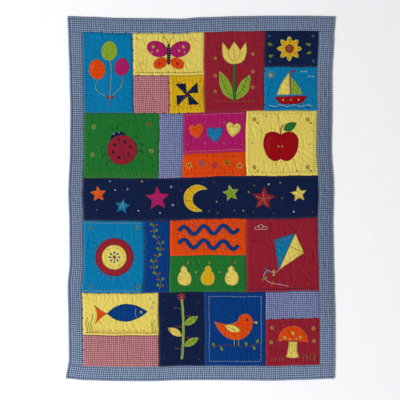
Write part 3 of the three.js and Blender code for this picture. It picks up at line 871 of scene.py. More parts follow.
def makeMotif(node, outline, face):
    mesh = bmesh.new()
    rim = [mesh.verts.new((*point, 0)) for point in outline]
    edges = [mesh.edges.new(pair) for pair in zip(rim, rim[1:] + rim[:1])]
    bmesh.ops.triangle_fill(mesh, use_beauty=True, edges=edges, normal=(0, 0, 1))
    step = motifCloth["lattice"]
    for axis in range(2):
        low = min(point[axis] for point in outline)
        high = max(point[axis] for point in outline)
        for line in range(math.ceil(low / step), math.floor(high / step) + 1):
            across = Vector((0, 0, 0))
            across[axis] = 1
            everything = mesh.verts[:] + mesh.edges[:] + mesh.faces[:]
            bmesh.ops.bisect_plane(
                mesh, geom=everything, dist=0.0001, plane_co=across * line * step, plane_no=across
            )
    flatArea = sum(part.calc_area() for part in mesh.faces)
    for part in mesh.faces:
        part.smooth = True
    bmesh.ops.extrude_face_region(mesh, geom=mesh.faces[:], use_keep_orig=True)
    places = np.array([vert.co[:] for vert in mesh.verts])
    x, y = places[:, 0], places[:, 1]
    upper = np.zeros(len(places))
    upper[len(places) // 2:] = 1
    height = face.heightAt(x, y) + liftOf(node) + motifCloth["thickness"] * upper
    grain = random.Random(node).uniform(-motifCloth["grain"], motifCloth["grain"])
    along = x * math.cos(grain) + y * math.sin(grain)
    down = y * math.cos(grain) - x * math.sin(grain)
    setClothPlaces(mesh, along, down)
    setPlaces(mesh.verts, x, y, height)
    bmesh.ops.recalc_face_normals(mesh, faces=mesh.faces)
    sheet = finished(node + "_cloth", mesh, [cloths[clothOf(node)]])
    width, length = (max(motifCloth["narrowest"], np.ptp(side)) for side in (x, y))
    length = min(length, flatArea / motifCloth["fullness"] / width)
    length / 1000
    flatArea / 1e6
    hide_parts(node)


# Sewing

# The bead of close stitches over a motif's edge: out from the edge, and up from the underside
satin = {
    "out": (-2.0, -1.5, -0.3, 0.8, 1.3, -0.5),
    "up": (0.75, 1.2, 1.5, 1.0, -0.4, -0.4),
    "paler": {"lime": "paleLime", "gold": "yellow", "orange": "apricot"},  # than the cloth
}


# A tube that closes on itself both ways; rings[row][column] are its places
def tube(mesh, rings, runs, material):
    rows, columns = len(rings), len(rings[0])
    verts, fromSide, fromStart = newGrid(mesh, columns, rows)
    column = np.rint(fromSide * columns).astype(int)
    row = np.rint(fromStart * rows).astype(int)
    places = rings[row % rows, column % columns]
    layer = mesh.loops.layers.uv["thread"]
    values = {vert: (runs[r], c) for vert, r, c in zip(verts, row.tolist(), column.tolist())}
    for face in {face for vert in verts for face in vert.link_faces}:
        face.material_index = material
        for loop in face.loops:
            loop[layer].uv = values[loop.vert]
    setPlaces(verts, *places.T)
    bmesh.ops.remove_doubles(mesh, verts=verts, dist=0.001)


def straightPath(start, end):
    return [Vector(start), Vector(end)]


pathSteps = 12    # from one point of a smooth line to the next


# Places along a smooth line through a few points
def smoothPath(*points):
    points = [Vector(point) for point in points]
    ends = [2 * points[0] - points[1], *points, 2 * points[-1] - points[-2]]
    path = []
    for before, start, end, after in zip(ends, ends[1:], ends[2:], ends[3:]):
        for step in range(pathSteps):
            t = step / pathSteps
            path.append(
                start
                + (end - before) * (t / 2)
                + (2 * before - 5 * start + 4 * end - after) * (t * t / 2)
                + (3 * start - before - 3 * end + after) * (t**3 / 2)
            )
    return [*path, points[-1]]


# Places round part of a circle, a step of about 8 degrees apart
def arc(x, y, radius, start=0, turn=360):
    count = max(6, round(abs(turn) / 8))
    angles = [math.radians(start + turn * k / count) for k in range(count + 1)]
    return [Vector((x + radius * math.cos(a), y + radius * math.sin(a))) for a in angles]


# One millimetre in a direction, given in degrees
def aimed(turn):
    return Vector((math.cos(math.radians(turn)), math.sin(math.radians(turn))))


# Places that are counted from a middle and turned about it
def turnedAbout(middle, turn):
    along, up = aimed(turn), aimed(turn + 90)
    return lambda x, y: Vector(middle) + along * x + up * y


# Starts and ends of stitches of one length along a path
def stepsAlong(path, length, space):
    runs = np.concatenate([[0], np.cumsum([(b - a).length for a, b in zip(path, path[1:])])])
    count = max(1, round(runs[-1] / (length + space)))
    step = runs[-1] / count
    starts = np.arange(count) * step
    ends = starts + step - space
    across, up = [[point[axis] for point in path] for axis in range(2)]
    for start, end in zip(starts, ends):
        yield (
            Vector((np.interp(start, runs, across), np.interp(start, runs, up))),
            Vector((np.interp(end, runs, across), np.interp(end, runs, up))),
        )


# How far stitches stand up from the patch: on the patch itself, on a motif, and on a second one
onPatch, onMotif, onSecond = 0.35, 1.15, 2.05


# One stitch as a long bead, from -1 to 1 along it: its places and the corners of its faces
def makeBead():
    bead = bmesh.new()
    lengthwise = Matrix.Rotation(math.pi / 2, 4, "Y")
    bmesh.ops.create_uvsphere(bead, u_segments=6, v_segments=5, radius=1, matrix=lengthwise)
    bead.verts.index_update()
    places = np.array([vert.co[:] for vert in bead.verts])
    corners = [[vert.index for vert in face.verts] for face in bead.faces]
    bead.free()
    return places, corners


beadPlaces, beadCorners = makeBead()
beadHeight = 0.42    # of a stitch, against its width
beadOver = 0.2       # how far the bead runs past each end of its stitch

# Stitches side by side, which fill a round, a leaf or a petal
filling = {"spotPitch": 1.15, "leafPitch": 1.5, "width": 1.35, "petalWidth": 1.5}


class Sewing:
    def __init__(self, name, heightAt, middle=(0, 0)):
        self.name = name
        self.heightAt = heightAt
        self.middle = Vector(middle)
        self.mesh = bmesh.new()
        self.mesh.loops.layers.uv.new("thread")
        self.flosses = []
        self.stitches = []
        self.lift = onPatch

    def slotFor(self, thread):
        if thread not in self.flosses:
            self.flosses.append(thread)
        return self.flosses.index(thread)

    def satin(self, outline, thread, lift):
        count = len(outline)
        runs = [0]
        outward = []
        for k, point in enumerate(outline):
            following = outline[(k + 1) % count]
            runs.append(runs[-1] + (following - point).length)
            before = (point - outline[k - 1]).normalized()
            across = before + (following - point).normalized()
            across = Vector((across.y, -across.x)).normalized()
            square = max(0.6, across.dot(Vector((before.y, -before.x))))
            outward.append(across / square)
        base = self.heightAt([p.x for p in outline], [p.y for p in outline]) + lift
        rings = np.array(
            [
                [
                    (point.x + away.x * out, point.y + away.y * out, ground + up)
                    for out, up in zip(satin["out"], satin["up"])
                ]
                for point, away, ground in zip(outline, outward, base.tolist())
            ]
        )
        tube(self.mesh, rings, runs, self.slotFor(thread))

    # All places below are from the patch's middle, with y towards the quilt's head

    def stitch(self, start, end, thread, width=1.1):
        self.stitches.append((Vector(start), Vector(end), width, self.lift, self.slotFor(thread)))

    # stitches with a space between them
    def running(self, path, thread, length=4.2, space=2.4, width=1.2):
        for start, end in stepsAlong(path, length, space):
            self.stitch(start, end, thread, width)

    # stitches that overlap, so that they read as one line
    def stem(self, path, thread, width=1.4):
        self.running(path, thread, 3.8, -0.8, width)

    # a blade of grass
    def blade(self, x, foot, lean, height, width=1.4):
        path = smoothPath((x, foot), (x + 1, foot + 8), (x + lean, foot + height))
        self.stem(path, "lime", width)

    # one short fat stitch
    def knot(self, x, y, thread, size=2.4):
        self.stitch((x - size / 4, y), (x + size / 4, y), thread, size)

    # straight stitches that meet at their middles
    def cross(self, x, y, size, thread, arms=2, turn=45):
        for arm in range(arms):
            reach = aimed(turn + 180 * arm / arms) * size / 2
            self.stitch(Vector((x, y)) - reach, Vector((x, y)) + reach, thread)

    # a round filled with side by side stitches
    def spot(self, x, y, radius, thread, turn=35):
        along, aside = aimed(turn), aimed(turn + 90)
        rows = max(2, round(2 * radius / filling["spotPitch"]))
        for row in range(rows):
            off = radius * (2 * (row + 0.5) / rows - 1)
            half = along * math.sqrt(radius**2 - off**2)
            middle = Vector((x, y)) + aside * off
            self.stitch(middle - half, middle + half, thread, filling["width"])

    # slanting stitches out from a midrib
    def leaf(self, x, y, length, turn, thread, fullness=0.42):
        along, aside = aimed(turn), aimed(turn + 90)
        rows = max(3, round(length / filling["leafPitch"]))
        for row in range(rows):
            share = (row + 0.5) / rows
            root = Vector((x, y)) + along * length * share * 0.82
            reach = fullness * length * math.sin(math.pi * share) ** 0.8
            for side in (-1, 1):
                tip = root + along * reach * 0.55 + aside * side * reach * 0.62
                self.stitch(root, tip, thread, filling["width"])

    # each petal is two stitches that close in towards its tip
    def flower(self, x, y, reach, petals, thread, heart, turn=0):
        for petal in range(petals):
            way = aimed(turn + 360 * petal / petals)
            for side in (0.9, -0.9):
                aside = Vector((-way.y, way.x)) * side
                root = Vector((x, y)) + way * reach * 0.3 + aside
                tip = Vector((x, y)) + way * reach + aside * 0.3
                self.stitch(root, tip, thread, filling["petalWidth"])
        self.knot(x, y, heart, reach * 0.42)

    # every stitch is the same bead, stretched and turned, and they are joined as one mesh
    def joinStitches(self):
        starts, ends, widths, lifts, slots = [np.array(part, float) for part in zip(*self.stitches)]
        starts, ends = starts + self.middle, ends + self.middle
        middles = (starts + ends) / 2
        half = np.linalg.norm(ends - starts, axis=1, keepdims=True) / 2
        way = (ends - starts) / 2 / half
        aside = np.stack([-way[:, 1], way[:, 0]], axis=1)
        first, midway, last = [
            (self.heightAt(*places.T) + lifts)[:, None] for places in (starts, middles, ends)
        ]
        along, wide, high = beadPlaces.T
        run = along * (half + beadOver)
        off = wide * widths[:, None] / 2
        flat = middles[:, None] + way[:, None] * run[..., None] + aside[:, None] * off[..., None]
        rise = (last - first) / 2 * along + ((first + last) / 2 - midway) * along**2
        height = midway + rise + high * widths[:, None] * beadHeight
        places = np.concatenate([flat, height[..., None]], axis=2).reshape(-1, 3)
        corners = [
            [corner + bead for corner in face]
            for bead in range(0, len(places), len(beadPlaces))
            for face in beadCorners
        ]
        data = bpy.data.meshes.new("stitches")
        data.from_pydata(places.tolist(), [], corners)
        materials = np.repeat(slots.astype(np.int32), len(beadCorners))
        data.polygons.foreach_set("material_index", materials)
        twist = (run * 0.5 + off).ravel()
        index = np.empty(len(data.loops), np.int32)
        data.loops.foreach_get("vertex_index", index)
        layer = data.uv_layers.new(name="thread")
        thread = np.stack([twist[index], np.zeros(len(index))], axis=1)
        layer.uv.foreach_set("vector", thread.ravel().astype(np.float32))
        self.mesh.from_mesh(data)
        bpy.data.meshes.remove(data)

    def finish(self):
        bmesh.ops.recalc_face_normals(self.mesh, faces=self.mesh.faces)
        if self.stitches:
            self.joinStitches()
        for face in self.mesh.faces:
            face.smooth = True
        threads = [flosses[name] for name in self.flosses]
        finished(self.name + "_sewing", self.mesh, threads)


# What is embroidered on each patch

def sewBalloons(sewing):
    for x, y, bend in ((-38, -23, -14), (4, 40, 6), (44, -9, 12)):
        sewing.stem(smoothPath((x, y), (x * 0.7 + bend, y - 34), (4, -84)), "yellow", 1.3)
    for side in (-1, 1):
        sewing.leaf(4, -85, 17, 90 - side * 62, "crimson", 0.5)
        sewing.stem(smoothPath((4, -86), (4 + side * 6, -97), (4 + side * 3, -112)), "crimson")
    sewing.lift = onMotif
    for x, y, thread in ((-38, 10, "yellow"), (4, 72, "yellow"), (44, 20, "orange")):
        sewing.stem(arc(x, y, 17, 120, 62), thread)


def sewButterfly(sewing):
    for side in (-1, 1):
        tip = (side * 17, 57)
        sewing.stem(smoothPath((side * 1.5, 33), (side * 5, 47), tip), "navy")
        sewing.knot(*tip, "navy", 3.6)
    loop = smoothPath((-108, -46), (-92, -30), (-74, -38), (-80, -52), (-92, -44), (-86, -20))
    sewing.running(loop, "crimson", 3.4, 2.2)
    sewing.running(smoothPath((62, 46), (84, 52), (104, 36)), "crimson", 3.4, 2.2)
    sewing.lift = onMotif
    for side in (-1, 1):
        for x, y, radius in ((50, 25, 5.5), (36, 12, 4), (54, 8, 3)):
            sewing.spot(side * x, y, radius, "yellow")
        sewing.spot(side * 29, -31, 4.5, "magenta")
        sewing.running(arc(side * 38, 17, 17.5, 90 - side * 20, -side * 150), "orange", 3, 2)
    for y in range(-24, 28, 8):
        sewing.stitch((-4, y), (4, y), "yellow")


def sewPinwheel(sewing):
    sewing.running(arc(0, 0, 47), "crimson")
    for k in range(4):
        sewing.cross(*(aimed(45 + 90 * k) * 58), 5, "navy")
    sewing.lift = onMotif
    sewing.spot(0, 0, 5.5, "crimson")
    for k in range(4):
        way, aside = aimed(49 + 90 * k), aimed(94 + 90 * k)
        sewing.running([way * 12, way * 34 + aside * 2], "yellow", 3, 2, 1)


def sewTulip(sewing):
    for x in (-62, 62):
        for y in (-60, -8, 50):
            sewing.flower(x, y + x / 9, 6, 5, "yellow", "orange", 20)
    for x, y in ((-78, 96), (-34, 108), (36, 108), (78, 92), (-80, -108), (80, -104)):
        sewing.cross(x, y, 6, "orange", 3, 30)
    sewing.running(straightPath((-72, -99), (72, -99)), "lime", 4.2, 2.2)
    sewing.lift = onMotif
    for side in (-1, 1):
        sewing.stem(smoothPath((side * 3, 32), (side * 18, 50), (side * 20, 74)), "orange")
        sewing.stem(smoothPath((side * 8, -84), (side * 30, -56), (side * 45, -12)), "green")
    sewing.stem(straightPath((0, 32), (0, 84)), "orange")


def sewDaisy(sewing):
    for x, y, turn in ((48, -18, 20), (46, 16, -18), (-62, 10, 160), (-60, -22, 200)):
        sewing.leaf(x, y, 20, turn, "lime")
    for x, y in ((70, 40), (-74, 40), (72, -42), (-72, -44)):
        sewing.flower(x, y, 6, 5, "turquoise", "yellow")
    middle = Vector((-8, 0))
    sewing.lift = onMotif
    for petal in range(8):
        way = aimed(90 + 45 * petal)
        sewing.stem([middle + way * 17, middle + way * 31], "orange", 1.2)
    sewing.lift = onSecond
    for ring, count in ((0, 1), (4.5, 6), (8.5, 10)):
        for k in range(count):
            sewing.knot(*(middle + aimed(360 * k / count) * ring), "yellow")


def sewBoat(sewing):
    sewing.stem(straightPath((0, -22), (-2, 58)), "brown", 1.9)
    sewing.leaf(-2, 56, 17, 8, "magenta", 0.5)
    for row, thread in ((-56, "white"), (-63, "navy")):
        path = [Vector((x, row + 2.6 * math.sin(x / 7))) for x in range(-72, 73, 3)]
        sewing.stem(path, thread, 1.3)
    sun = Vector((-66, 46))
    sewing.spot(*sun, 7, "yellow")
    for k in range(10):
        way = aimed(36 * k)
        sewing.stitch(sun + way * 9.5, sun + way * 14, "yellow")
    for x, y in ((42, 52), (66, 36)):  # two gulls
        sewing.stem(arc(x - 5.5, y, 6, 170, -140), "white", 1.2)
        sewing.stem(arc(x + 5.5, y, 6, 150, -140), "white", 1.2)
    sewing.lift = onMotif
    for x in (-26, 0, 26):
        sewing.spot(x, -37, 3.4, "yellow")
    sewing.running(straightPath((-10, -12), (-10, 40)), "orange", 3, 2, 1)
    sewing.running(straightPath((9, -12), (9, 26)), "green", 3, 2, 1)


def sewLadybird(sewing):
    about = turnedAbout((0, -14), 18)
    for side in (-1, 1):
        for reach, up in ((50, 24), (55, -2), (48, -26)):
            start = about(side * reach * 0.86, up)
            knee = about(side * (reach + 10), up + 5)
            sewing.stem(smoothPath(start, knee, about(side * (reach + 16), up - 8)), "navy", 1.8)
        tip = about(side * 24, 84)
        sewing.stem(smoothPath(about(side * 7, 66), about(side * 10, 78), tip), "navy")
        sewing.knot(*tip, "navy", 4)
    for x in range(-110, 118, 12):
        sewing.blade(x, -102, 5 * math.sin(x), 15 + 7 * math.sin(x * 0.7))
    flowers = ((-92, 62, "yellow"), (90, 70, "orange"), (-96, -30, "yellow"), (98, -18, "yellow"))
    for x, y, thread in flowers:
        sewing.flower(x, y, 8, 6, thread, "magenta")
    sewing.lift = onMotif
    sewing.stem([about(0, -46), about(0, 42)], "navy", 1.8)
    for side in (-1, 1):
        for x, y, radius in ((17, 22, 6), (29, 0, 5.5), (17, -22, 6)):
            sewing.spot(*about(side * x, y), radius, "navy")
        sewing.spot(*about(side * 9, 58), 2.6, "white")
    sewing.spot(*about(0, 36), 4.5, "navy")


def sewHearts(sewing):
    halfHeart = ((0, -16), (12, -2), (15, 9), (8, 16), (0, 8))
    sewing.lift = onMotif
    for x, y, turn, thread in ((-62, 6, 8, "yellow"), (0, -8, 0, "orange"), (62, 6, -8, "magenta")):
        about = turnedAbout((x, y), turn)
        for side in (-1, 1):
            half = [about(side * across, up) for across, up in halfHeart]
            sewing.running(smoothPath(*half), thread, 3.2, 2, 1.1)
    sewing.lift = onPatch
    for y, places in ((34, (-31, 31)), (-38, (-31, 31)), (-40, (-90, 90)), (44, (-92, 92))):
        for x in places:
            sewing.cross(x, y, 7, "lime", 2, 45 if y > 0 else 0)


def sewKnots(sewing):
    threads = ("yellow", "turquoise", "magenta", "lime", "yellow")
    for k, thread in enumerate(threads):
        x, y = -84 + 42 * k, 5 if k % 2 else -3
        sewing.flower(x, y, 13, 8, thread, "crimson", 12)
        sewing.leaf(x + 17, y - 6, 9, -30, "green")
    for y in (-29, 29):
        sewing.running(straightPath((-98, y), (98, y)), "navy", 4.2, 2.6)


def sewApple(sewing):
    sewing.stem(smoothPath((-2, 26), (-1, 44), (5, 60)), "brown", 2.4)
    sewing.stem(smoothPath((-0.4, 26), (1, 44), (7, 60)), "brown", 2.0)
    for x, y in ((-88, 78), (88, 78), (-88, -80), (88, -80)):
        sewing.flower(x, y, 8, 6, "crimson", "green", 15)
        sewing.leaf(x + 8, y - 8, 9, -50, "green")
    for x, y in ((-94, 0), (94, -4), (-50, 88), (52, -92)):
        sewing.cross(x, y, 7, "turquoise", 3, 0)
    sewing.lift = onMotif
    sewing.stem(smoothPath((-42, -22), (-44, 4), (-34, 24)), "orange", 1.6)
    sewing.stem(smoothPath((-36, -18), (-38, 2), (-30, 18)), "orange", 1.4)
    sewing.stem(smoothPath((10, 47), (28, 60), (46, 65)), "lime", 1.3)
    for side in (-1, 1):
        sewing.leaf(-2 + side * 5, -16, 10, 90 - side * 16, "yellow", 0.35)


night = {
    "moon": (-12, 0),
    "stars": (  # the middle, how far the stitches reach, the turn and the thread
        (-338, 18, 15, 5, "yellow"),
        (-258, -22, 14, -9, "yellow"),
        (-142, 4, 25, 3, "orange"),
        (98, 14, 15, 10, "crimson"),
        (206, -4, 25, -4, "yellow"),
        (322, 10, 15, 7, "orange"),
    ),
    "crosses": 26,
    "area": (372, 56),    # how far from the band's middle they may stand
    "fromMotifs": 52,
    "apart": 26,
    "size": (5, 9),
    "threads": ("yellow", "white", "turquoise", "lime", "magenta"),
}


def sewNight(sewing):
    dice = random.Random("night")
    wide, high = night["area"]
    motifs = [night["moon"], *(star[:2] for star in night["stars"])]
    crosses = []
    while len(crosses) < night["crosses"]:
        place = dice.uniform(-wide, wide), dice.uniform(-high, high)
        fromMotifs = min(math.dist(place, other) for other in motifs)
        apart = min((math.dist(place, other) for other in crosses), default=math.inf)
        if fromMotifs > night["fromMotifs"] and apart > night["apart"]:
            thread = dice.choice(night["threads"])
            sewing.cross(*place, dice.uniform(*night["size"]), thread, 3 if dice.random() < 0.5 else 4)
            crosses.append(place)
    sewing.lift = onMotif
    for x, y, reach, turn, thread in night["stars"]:
        for arm in range(5):
            way, middle = aimed(90 + turn + 72 * arm), Vector((x, y))
            sewing.stem([middle + way * 2, middle + way * reach], thread, 1.2)
    sewing.running(arc(*night["moon"], 37, 62, 212), "orange", 3.6, 2.2)


def sewPenny(sewing):
    for k in range(24):
        sewing.knot(*(aimed(15 * k) * 74), "yellow" if k % 2 else "orange", 3.2)
    for x in (-1, 1):
        for y in (-1, 1):
            sewing.flower(x * 78, y * 98, 9, 6, "lime", "crimson")
    sewing.lift = onMotif
    for k in range(20):
        way = aimed(18 * k)
        sewing.stitch(way * 45, way * 57, "orange", 1.6)
    sewing.lift = onSecond
    sewing.running(arc(0, 0, 31), "crimson", 4, 2.4)
    for k in range(8):
        sewing.leaf(*(aimed(45 * k) * 8), 14, 45 * k, "turquoise", 0.34)
    sewing.spot(0, 0, 6, "magenta")


def sewVine(sewing):
    def winding(y):
        return 12 * math.sin(y / 19)

    sewing.stem([Vector((winding(y), y)) for y in range(-108, 109, 4)], "lime", 1.7)
    for k, y in enumerate(range(-98, 104, 20)):
        x, side = winding(y), 1 if k % 2 else -1
        sewing.leaf(x + side * 2, y, 17, 90 - side * 48, "lime")
        sewing.spot(x - side * 9, y + 4, 3.2, "orange")
        sewing.stitch((x - side, y + 1), (x - side * 6, y + 4), "lime")


def sewWaves(sewing):
    def swell(x):    # as the wave motifs rise and fall, three times in their length
        return math.sin(x * 2 * math.pi * 3 / 196)

    path = [Vector((x, -11 * swell(x))) for x in range(-96, 97, 3)]
    sewing.running(path, "yellow", 4.4, 2.6, 1.4)
    for k in range(6):
        x, y = -82 + 33 * k, 45 if k % 2 else 42
        sewing.spot(x, y, 3.4, "turquoise")
        sewing.spot(x, -y, 3.4, "lime")
    sewing.lift = onMotif
    for y, turn in ((24, 2), (-24, -2)):
        slope = math.radians(turn)
        wave = [Vector((x, y + x * slope + 13 * swell(x))) for x in range(-92, 93, 3)]
        sewing.running(wave, "turquoise", 3.4, 2.6, 1.2)


def sewPears(sewing):
    for x, lean in ((-78, 3), (0, -2), (78, 2)):
        sewing.stem(smoothPath((x, 24), (x + lean, 34), (x + 2 * lean, 42)), "brown", 2.2)
        sewing.leaf(x + lean, 31, 17, 30, "lime")
    for x in (-39, 39):
        sewing.cross(x, 4, 9, "yellow", 4)
        sewing.cross(x, -32, 6, "orange", 2)
        sewing.cross(x, 38, 6, "orange", 2)
    sewing.lift = onMotif
    for x in (-78, 0, 78):
        sewing.stem(arc(x, -16, 13, 160, 70), "orange", 1.3)
        for k in range(4):
            sewing.knot(x + 5 + k, -6 - 7 * k, "orange", 1.8)


def sewKite(sewing):
    about = turnedAbout((22, 28), -24)
    tail = smoothPath(
        about(0, -84), (-28, -60), (-52, -52), (-62, -74), (-40, -92), (-8, -98), (20, -104)
    )
    sewing.stem(tail, "white", 1.3)
    # bows, by their step along the tail
    bows = {12: "yellow", 24: "turquoise", 38: "lime", 50: "orange", 62: "magenta"}
    for k, thread in bows.items():
        ahead = tail[k + 1] - tail[k - 1]
        turned = math.degrees(math.atan2(ahead.y, ahead.x))
        for side in (-1, 1):
            sewing.leaf(*tail[k], 11, turned + side * 78, thread, 0.6)
    for x, y in ((-84, 86), (-72, 92), (-60, 86)):  # a cloud
        sewing.stem(arc(x, y, 8, 190, -200), "white", 1.4)
    sewing.stem(straightPath((-92, 84), (-52, 84)), "white", 1.4)
    for x, y in ((-86, 20), (-70, -16), (96, -50), (84, -96), (98, 84)):
        sewing.cross(x, y, 7, "orange", 3)
    sewing.lift = onMotif
    sewing.stem([about(0, 44), about(0, -82)], "brown", 1.8)
    for side in (-1, 1):
        sewing.stem([about(side * 2, 0), about(side * 48, 0)], "brown", 1.6)
        sewing.running([about(side * 6, 30), about(side * 34, 4)], "orange", 3, 2)
        sewing.running([about(side * 6, -58), about(side * 34, -8)], "orange", 3, 2)


def sewFish(sewing):
    for x, y, radius in ((102, 24, 5), (108, 40, 3.6), (98, 52, 2.6)):
        sewing.stem(arc(x, y, radius), "turquoise", 1.2)
    for x, height in ((-112, 56), (-104, 38), (-96, 64), (104, 34), (112, 48)):
        blade = [Vector((x + 3 * math.sin(y / 7), y - 62)) for y in range(0, height, 3)]
        sewing.stem(blade, "green", 1.6)
    for x in range(-80, 96, 22):
        sewing.stem(arc(x, -58, 7, 170, -160), "orange", 1.3)
    sewing.lift = onMotif
    sewing.spot(68, 9, 4.4, "yellow")
    sewing.stem(arc(76, 6, 28, 148, 64), "yellow", 1.4)
    for column in range(4):
        for row in (-1, 0, 1):
            if abs(row) + abs(column - 1.6) < 2.5:
                x, y = 34 - 17 * column, 4 + row * 13 + (column % 2) * 6 - 3
                sewing.stem(arc(x, y, 6.5, 110, 140), "turquoise", 1.2)
    for side in (-1, 0, 1):
        ray = straightPath((-52, 2 + side * 3), (-74, 1 + side * 14))
        sewing.running(ray, "yellow", 3, 1.6, 1)


def sewSprig(sewing):
    sewing.flower(0, 106, 15, 10, "orange", "yellow", 8)
    sewing.flower(0, 106, 9, 10, "magenta", "yellow", 26)
    for x, y, side in ((6, -72, -1), (-3, -36, 1), (7, 0, -1), (5, 36, 1), (2, 62, -1)):
        sewing.stem(smoothPath((x, y), (x + side * 12, y + 8), (x + side * 22, y + 8)), "lime", 1.3)
        sewing.spot(x + side * 25, y + 8, 4, "crimson")
    for x, y in ((-58, 96), (56, 90), (-58, -96), (58, -100), (-60, 30), (60, -34)):
        sewing.cross(x, y, 6, "turquoise", 3)
    sewing.lift = onMotif
    for x, y, turn, thread in ((9, -56, 32, "green"), (-1, -22, 150, "orange"), (10, 14, 34, "green")):
        way, start = aimed(turn), Vector((x, y))
        sewing.stem([start + way * 4, start + way * 46], thread, 1.2)


def sewBird(sewing):
    branch = smoothPath((-76, -61), (-30, -52), (30, -58), (74, -49))
    sewing.stem(branch, "brown", 2.6)
    leaves = ((-66, -60, 120), (-48, -56, -70), (40, -58, 110), (58, -54, -60), (72, -50, 78))
    for x, y, turn in leaves:
        sewing.leaf(x, y, 19, turn, "lime")
    for x in (-4, 10):
        sewing.stem(straightPath((x, -27), (x + 2, -56)), "yellow", 1.8)
    sewing.leaf(60, 22, 17, -6, "yellow", 0.4)
    sewing.lift = onMotif
    sewing.spot(40, 30, 4, "navy")
    sewing.running(smoothPath((-52, 14), (-10, -24), (40, -10)), "yellow", 3.4, 2.2)
    sewing.lift = onSecond
    for k in range(3):
        feather = straightPath((-26 + 9 * k, 6 - k * 3), (-14 + 9 * k, 2 - k * 4))
        sewing.stem(feather, "crimson", 1.2)


def sewMushroom(sewing):
    for x in (-70, -58, -46, -34, 34, 46, 58, 70):
        sewing.blade(x, -62, 4 * math.cos(x), 17 + 6 * math.sin(x), 1.5)
    for x, y in ((-68, 48), (68, 46), (70, 4), (-72, 0)):
        sewing.flower(x, y, 7, 6, "yellow", "turquoise")
    sewing.lift = onMotif
    spots = (
        (0, 30, 6.5), (-26, 16, 5.5), (25, 17, 5.5), (-9, 11, 3.6), (12, 12, 3.2), (-38, 7, 3),
    )
    for x, y, radius in spots:
        sewing.spot(x, y, radius, "yellow")
    for x in range(-10, 11, 5):
        sewing.running(straightPath((x, -6), (x * 1.3, -40)), "brown", 3, 2, 1)


embroidery = {
    "balloon_patch": sewBalloons,
    "butterfly_patch": sewButterfly,
    "pinwheel_patch": sewPinwheel,
    "tulip_patch": sewTulip,
    "daisy_patch": sewDaisy,
    "boat_patch": sewBoat,
    "ladybird_patch": sewLadybird,
    "hearts_patch": sewHearts,
    "knot_patch": sewKnots,
    "apple_patch": sewApple,
    "night_band": sewNight,
    "penny_patch": sewPenny,
    "vine_strip": sewVine,
    "wave_patch": sewWaves,
    "pear_patch": sewPears,
    "kite_patch": sewKite,
    "fish_patch": sewFish,
    "sprig_patch": sewSprig,
    "bird_patch": sewBird,
    "mushroom_patch": sewMushroom,
}

# Rows sewn parallel to a patch's sides
rows = {
    "inset": 6.5,
    "along": {  # the sides that have a running row, of left, right, head and foot
        "vine_strip": ((0, 1), "turquoise", 6.5),
        "bird_patch": ((0, 1, 2, 3), "white", 15.0),
        "apple_patch": ((0, 1, 2, 3), "green", 11.0),
        "penny_patch": ((2, 3), "yellow", 8.0),
        "balloon_patch": ((0, 1, 2, 3), "navy", 7.0),
        "hearts_patch": ((2, 3), "yellow", 7.0),
        "mushroom_patch": ((2,), "orange", 7.0),
    },
    "feathered": {"butterfly_patch": "brown", "fish_patch": "crimson", "kite_patch": "navy"},
}


def sideOf(face, side, inset, middle):
    left, right = face.across[0] + inset, face.across[1] - inset
    head, foot = face.down[0] + inset, face.down[1] - inset
    u, v = [
        ((left, left), (head, foot)),
        ((right, right), (head, foot)),
        ((left, right), (head, head)),
        ((left, right), (foot, foot)),
    ][side]
    shares = np.linspace(0, 1, 60)
    x, y = layCloth(u[0] + (u[1] - u[0]) * shares, v[0] + (v[1] - v[0]) * shares)
    return [Vector(place) - middle for place in zip(x.tolist(), y.tolist())]


def sewRows(sewing, face):
    if face.name in rows["along"]:
        sides, thread, inset = rows["along"][face.name]
        for side in sides:
            sewing.running(sideOf(face, side, inset, sewing.middle), thread, 4.4, 2.6, 1.2)
    if face.name in rows["feathered"]:
        thread = rows["feathered"][face.name]
        path = sideOf(face, 3, rows["inset"], sewing.middle)
        for k, (start, end) in enumerate(stepsAlong(path, 5.2, 0)):
            up = Vector((0, 4.6 if k % 2 else 1.4))
            sewing.stitch(start, (start + end) / 2 + up, thread, 1.4)
            sewing.stitch((start + end) / 2 + up, end, thread, 1.4)


tacks = {
    "spacing": 38.0,
    "threads": ("crimson", "navy", "brown", "navy", "crimson", "brown"),
    "bare": 0.35,        # the share of seams that have none
    "height": 5.6,
    "length": 6.0,
    "strands": (-1.1, 0, 1.1),
    "width": 1.5,
}


# Little bars of thread that tie the seams down
def sewTacks():
    sewing = Sewing("seam", lambda x, y: np.full(len(x), tacks["height"]))
    sewing.lift = 0
    dice = random.Random("tacks")
    for name in patches:
        for side in (0, 2):
            thread = dice.choice(tacks["threads"])
            if dice.random() < tacks["bare"]:
                continue
            path = sideOf(faces[name], side, 0, Vector((0, 0)))
            for start, end in stepsAlong(path, tacks["spacing"], 0):
                along = (end - start).normalized()
                across = Vector((-along.y, along.x)) * tacks["length"] / 2
                middle = start + (end - start) * dice.uniform(0.35, 0.65)
                for strand in tacks["strands"]:
                    place = middle + along * strand
                    sewing.stitch(place - across, place + across, thread, tacks["width"])
    sewing.finish()


# Making it

border = quilt["border"]
faces = {}
outlines = {}
for name, patch in patches.items():
    across = [border + place for place in patch["across"]]
    down = [border + place for place in patch["down"]]
    faces[name] = Face(name, across, down, quilt["loft"])
    if "motifs" in patch:
        outlines.update((node, handCutOutline(node)) for node in patch["motifs"])
        faces[name].stitchDown([outlines[node] for node in patch["motifs"]])
print("quilt: outlines cut")

for name, patch in patches.items():
    pad = makePad(name, faces[name], patch["cloth"])
    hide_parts("quilt_middle")
print("quilt: patches made")

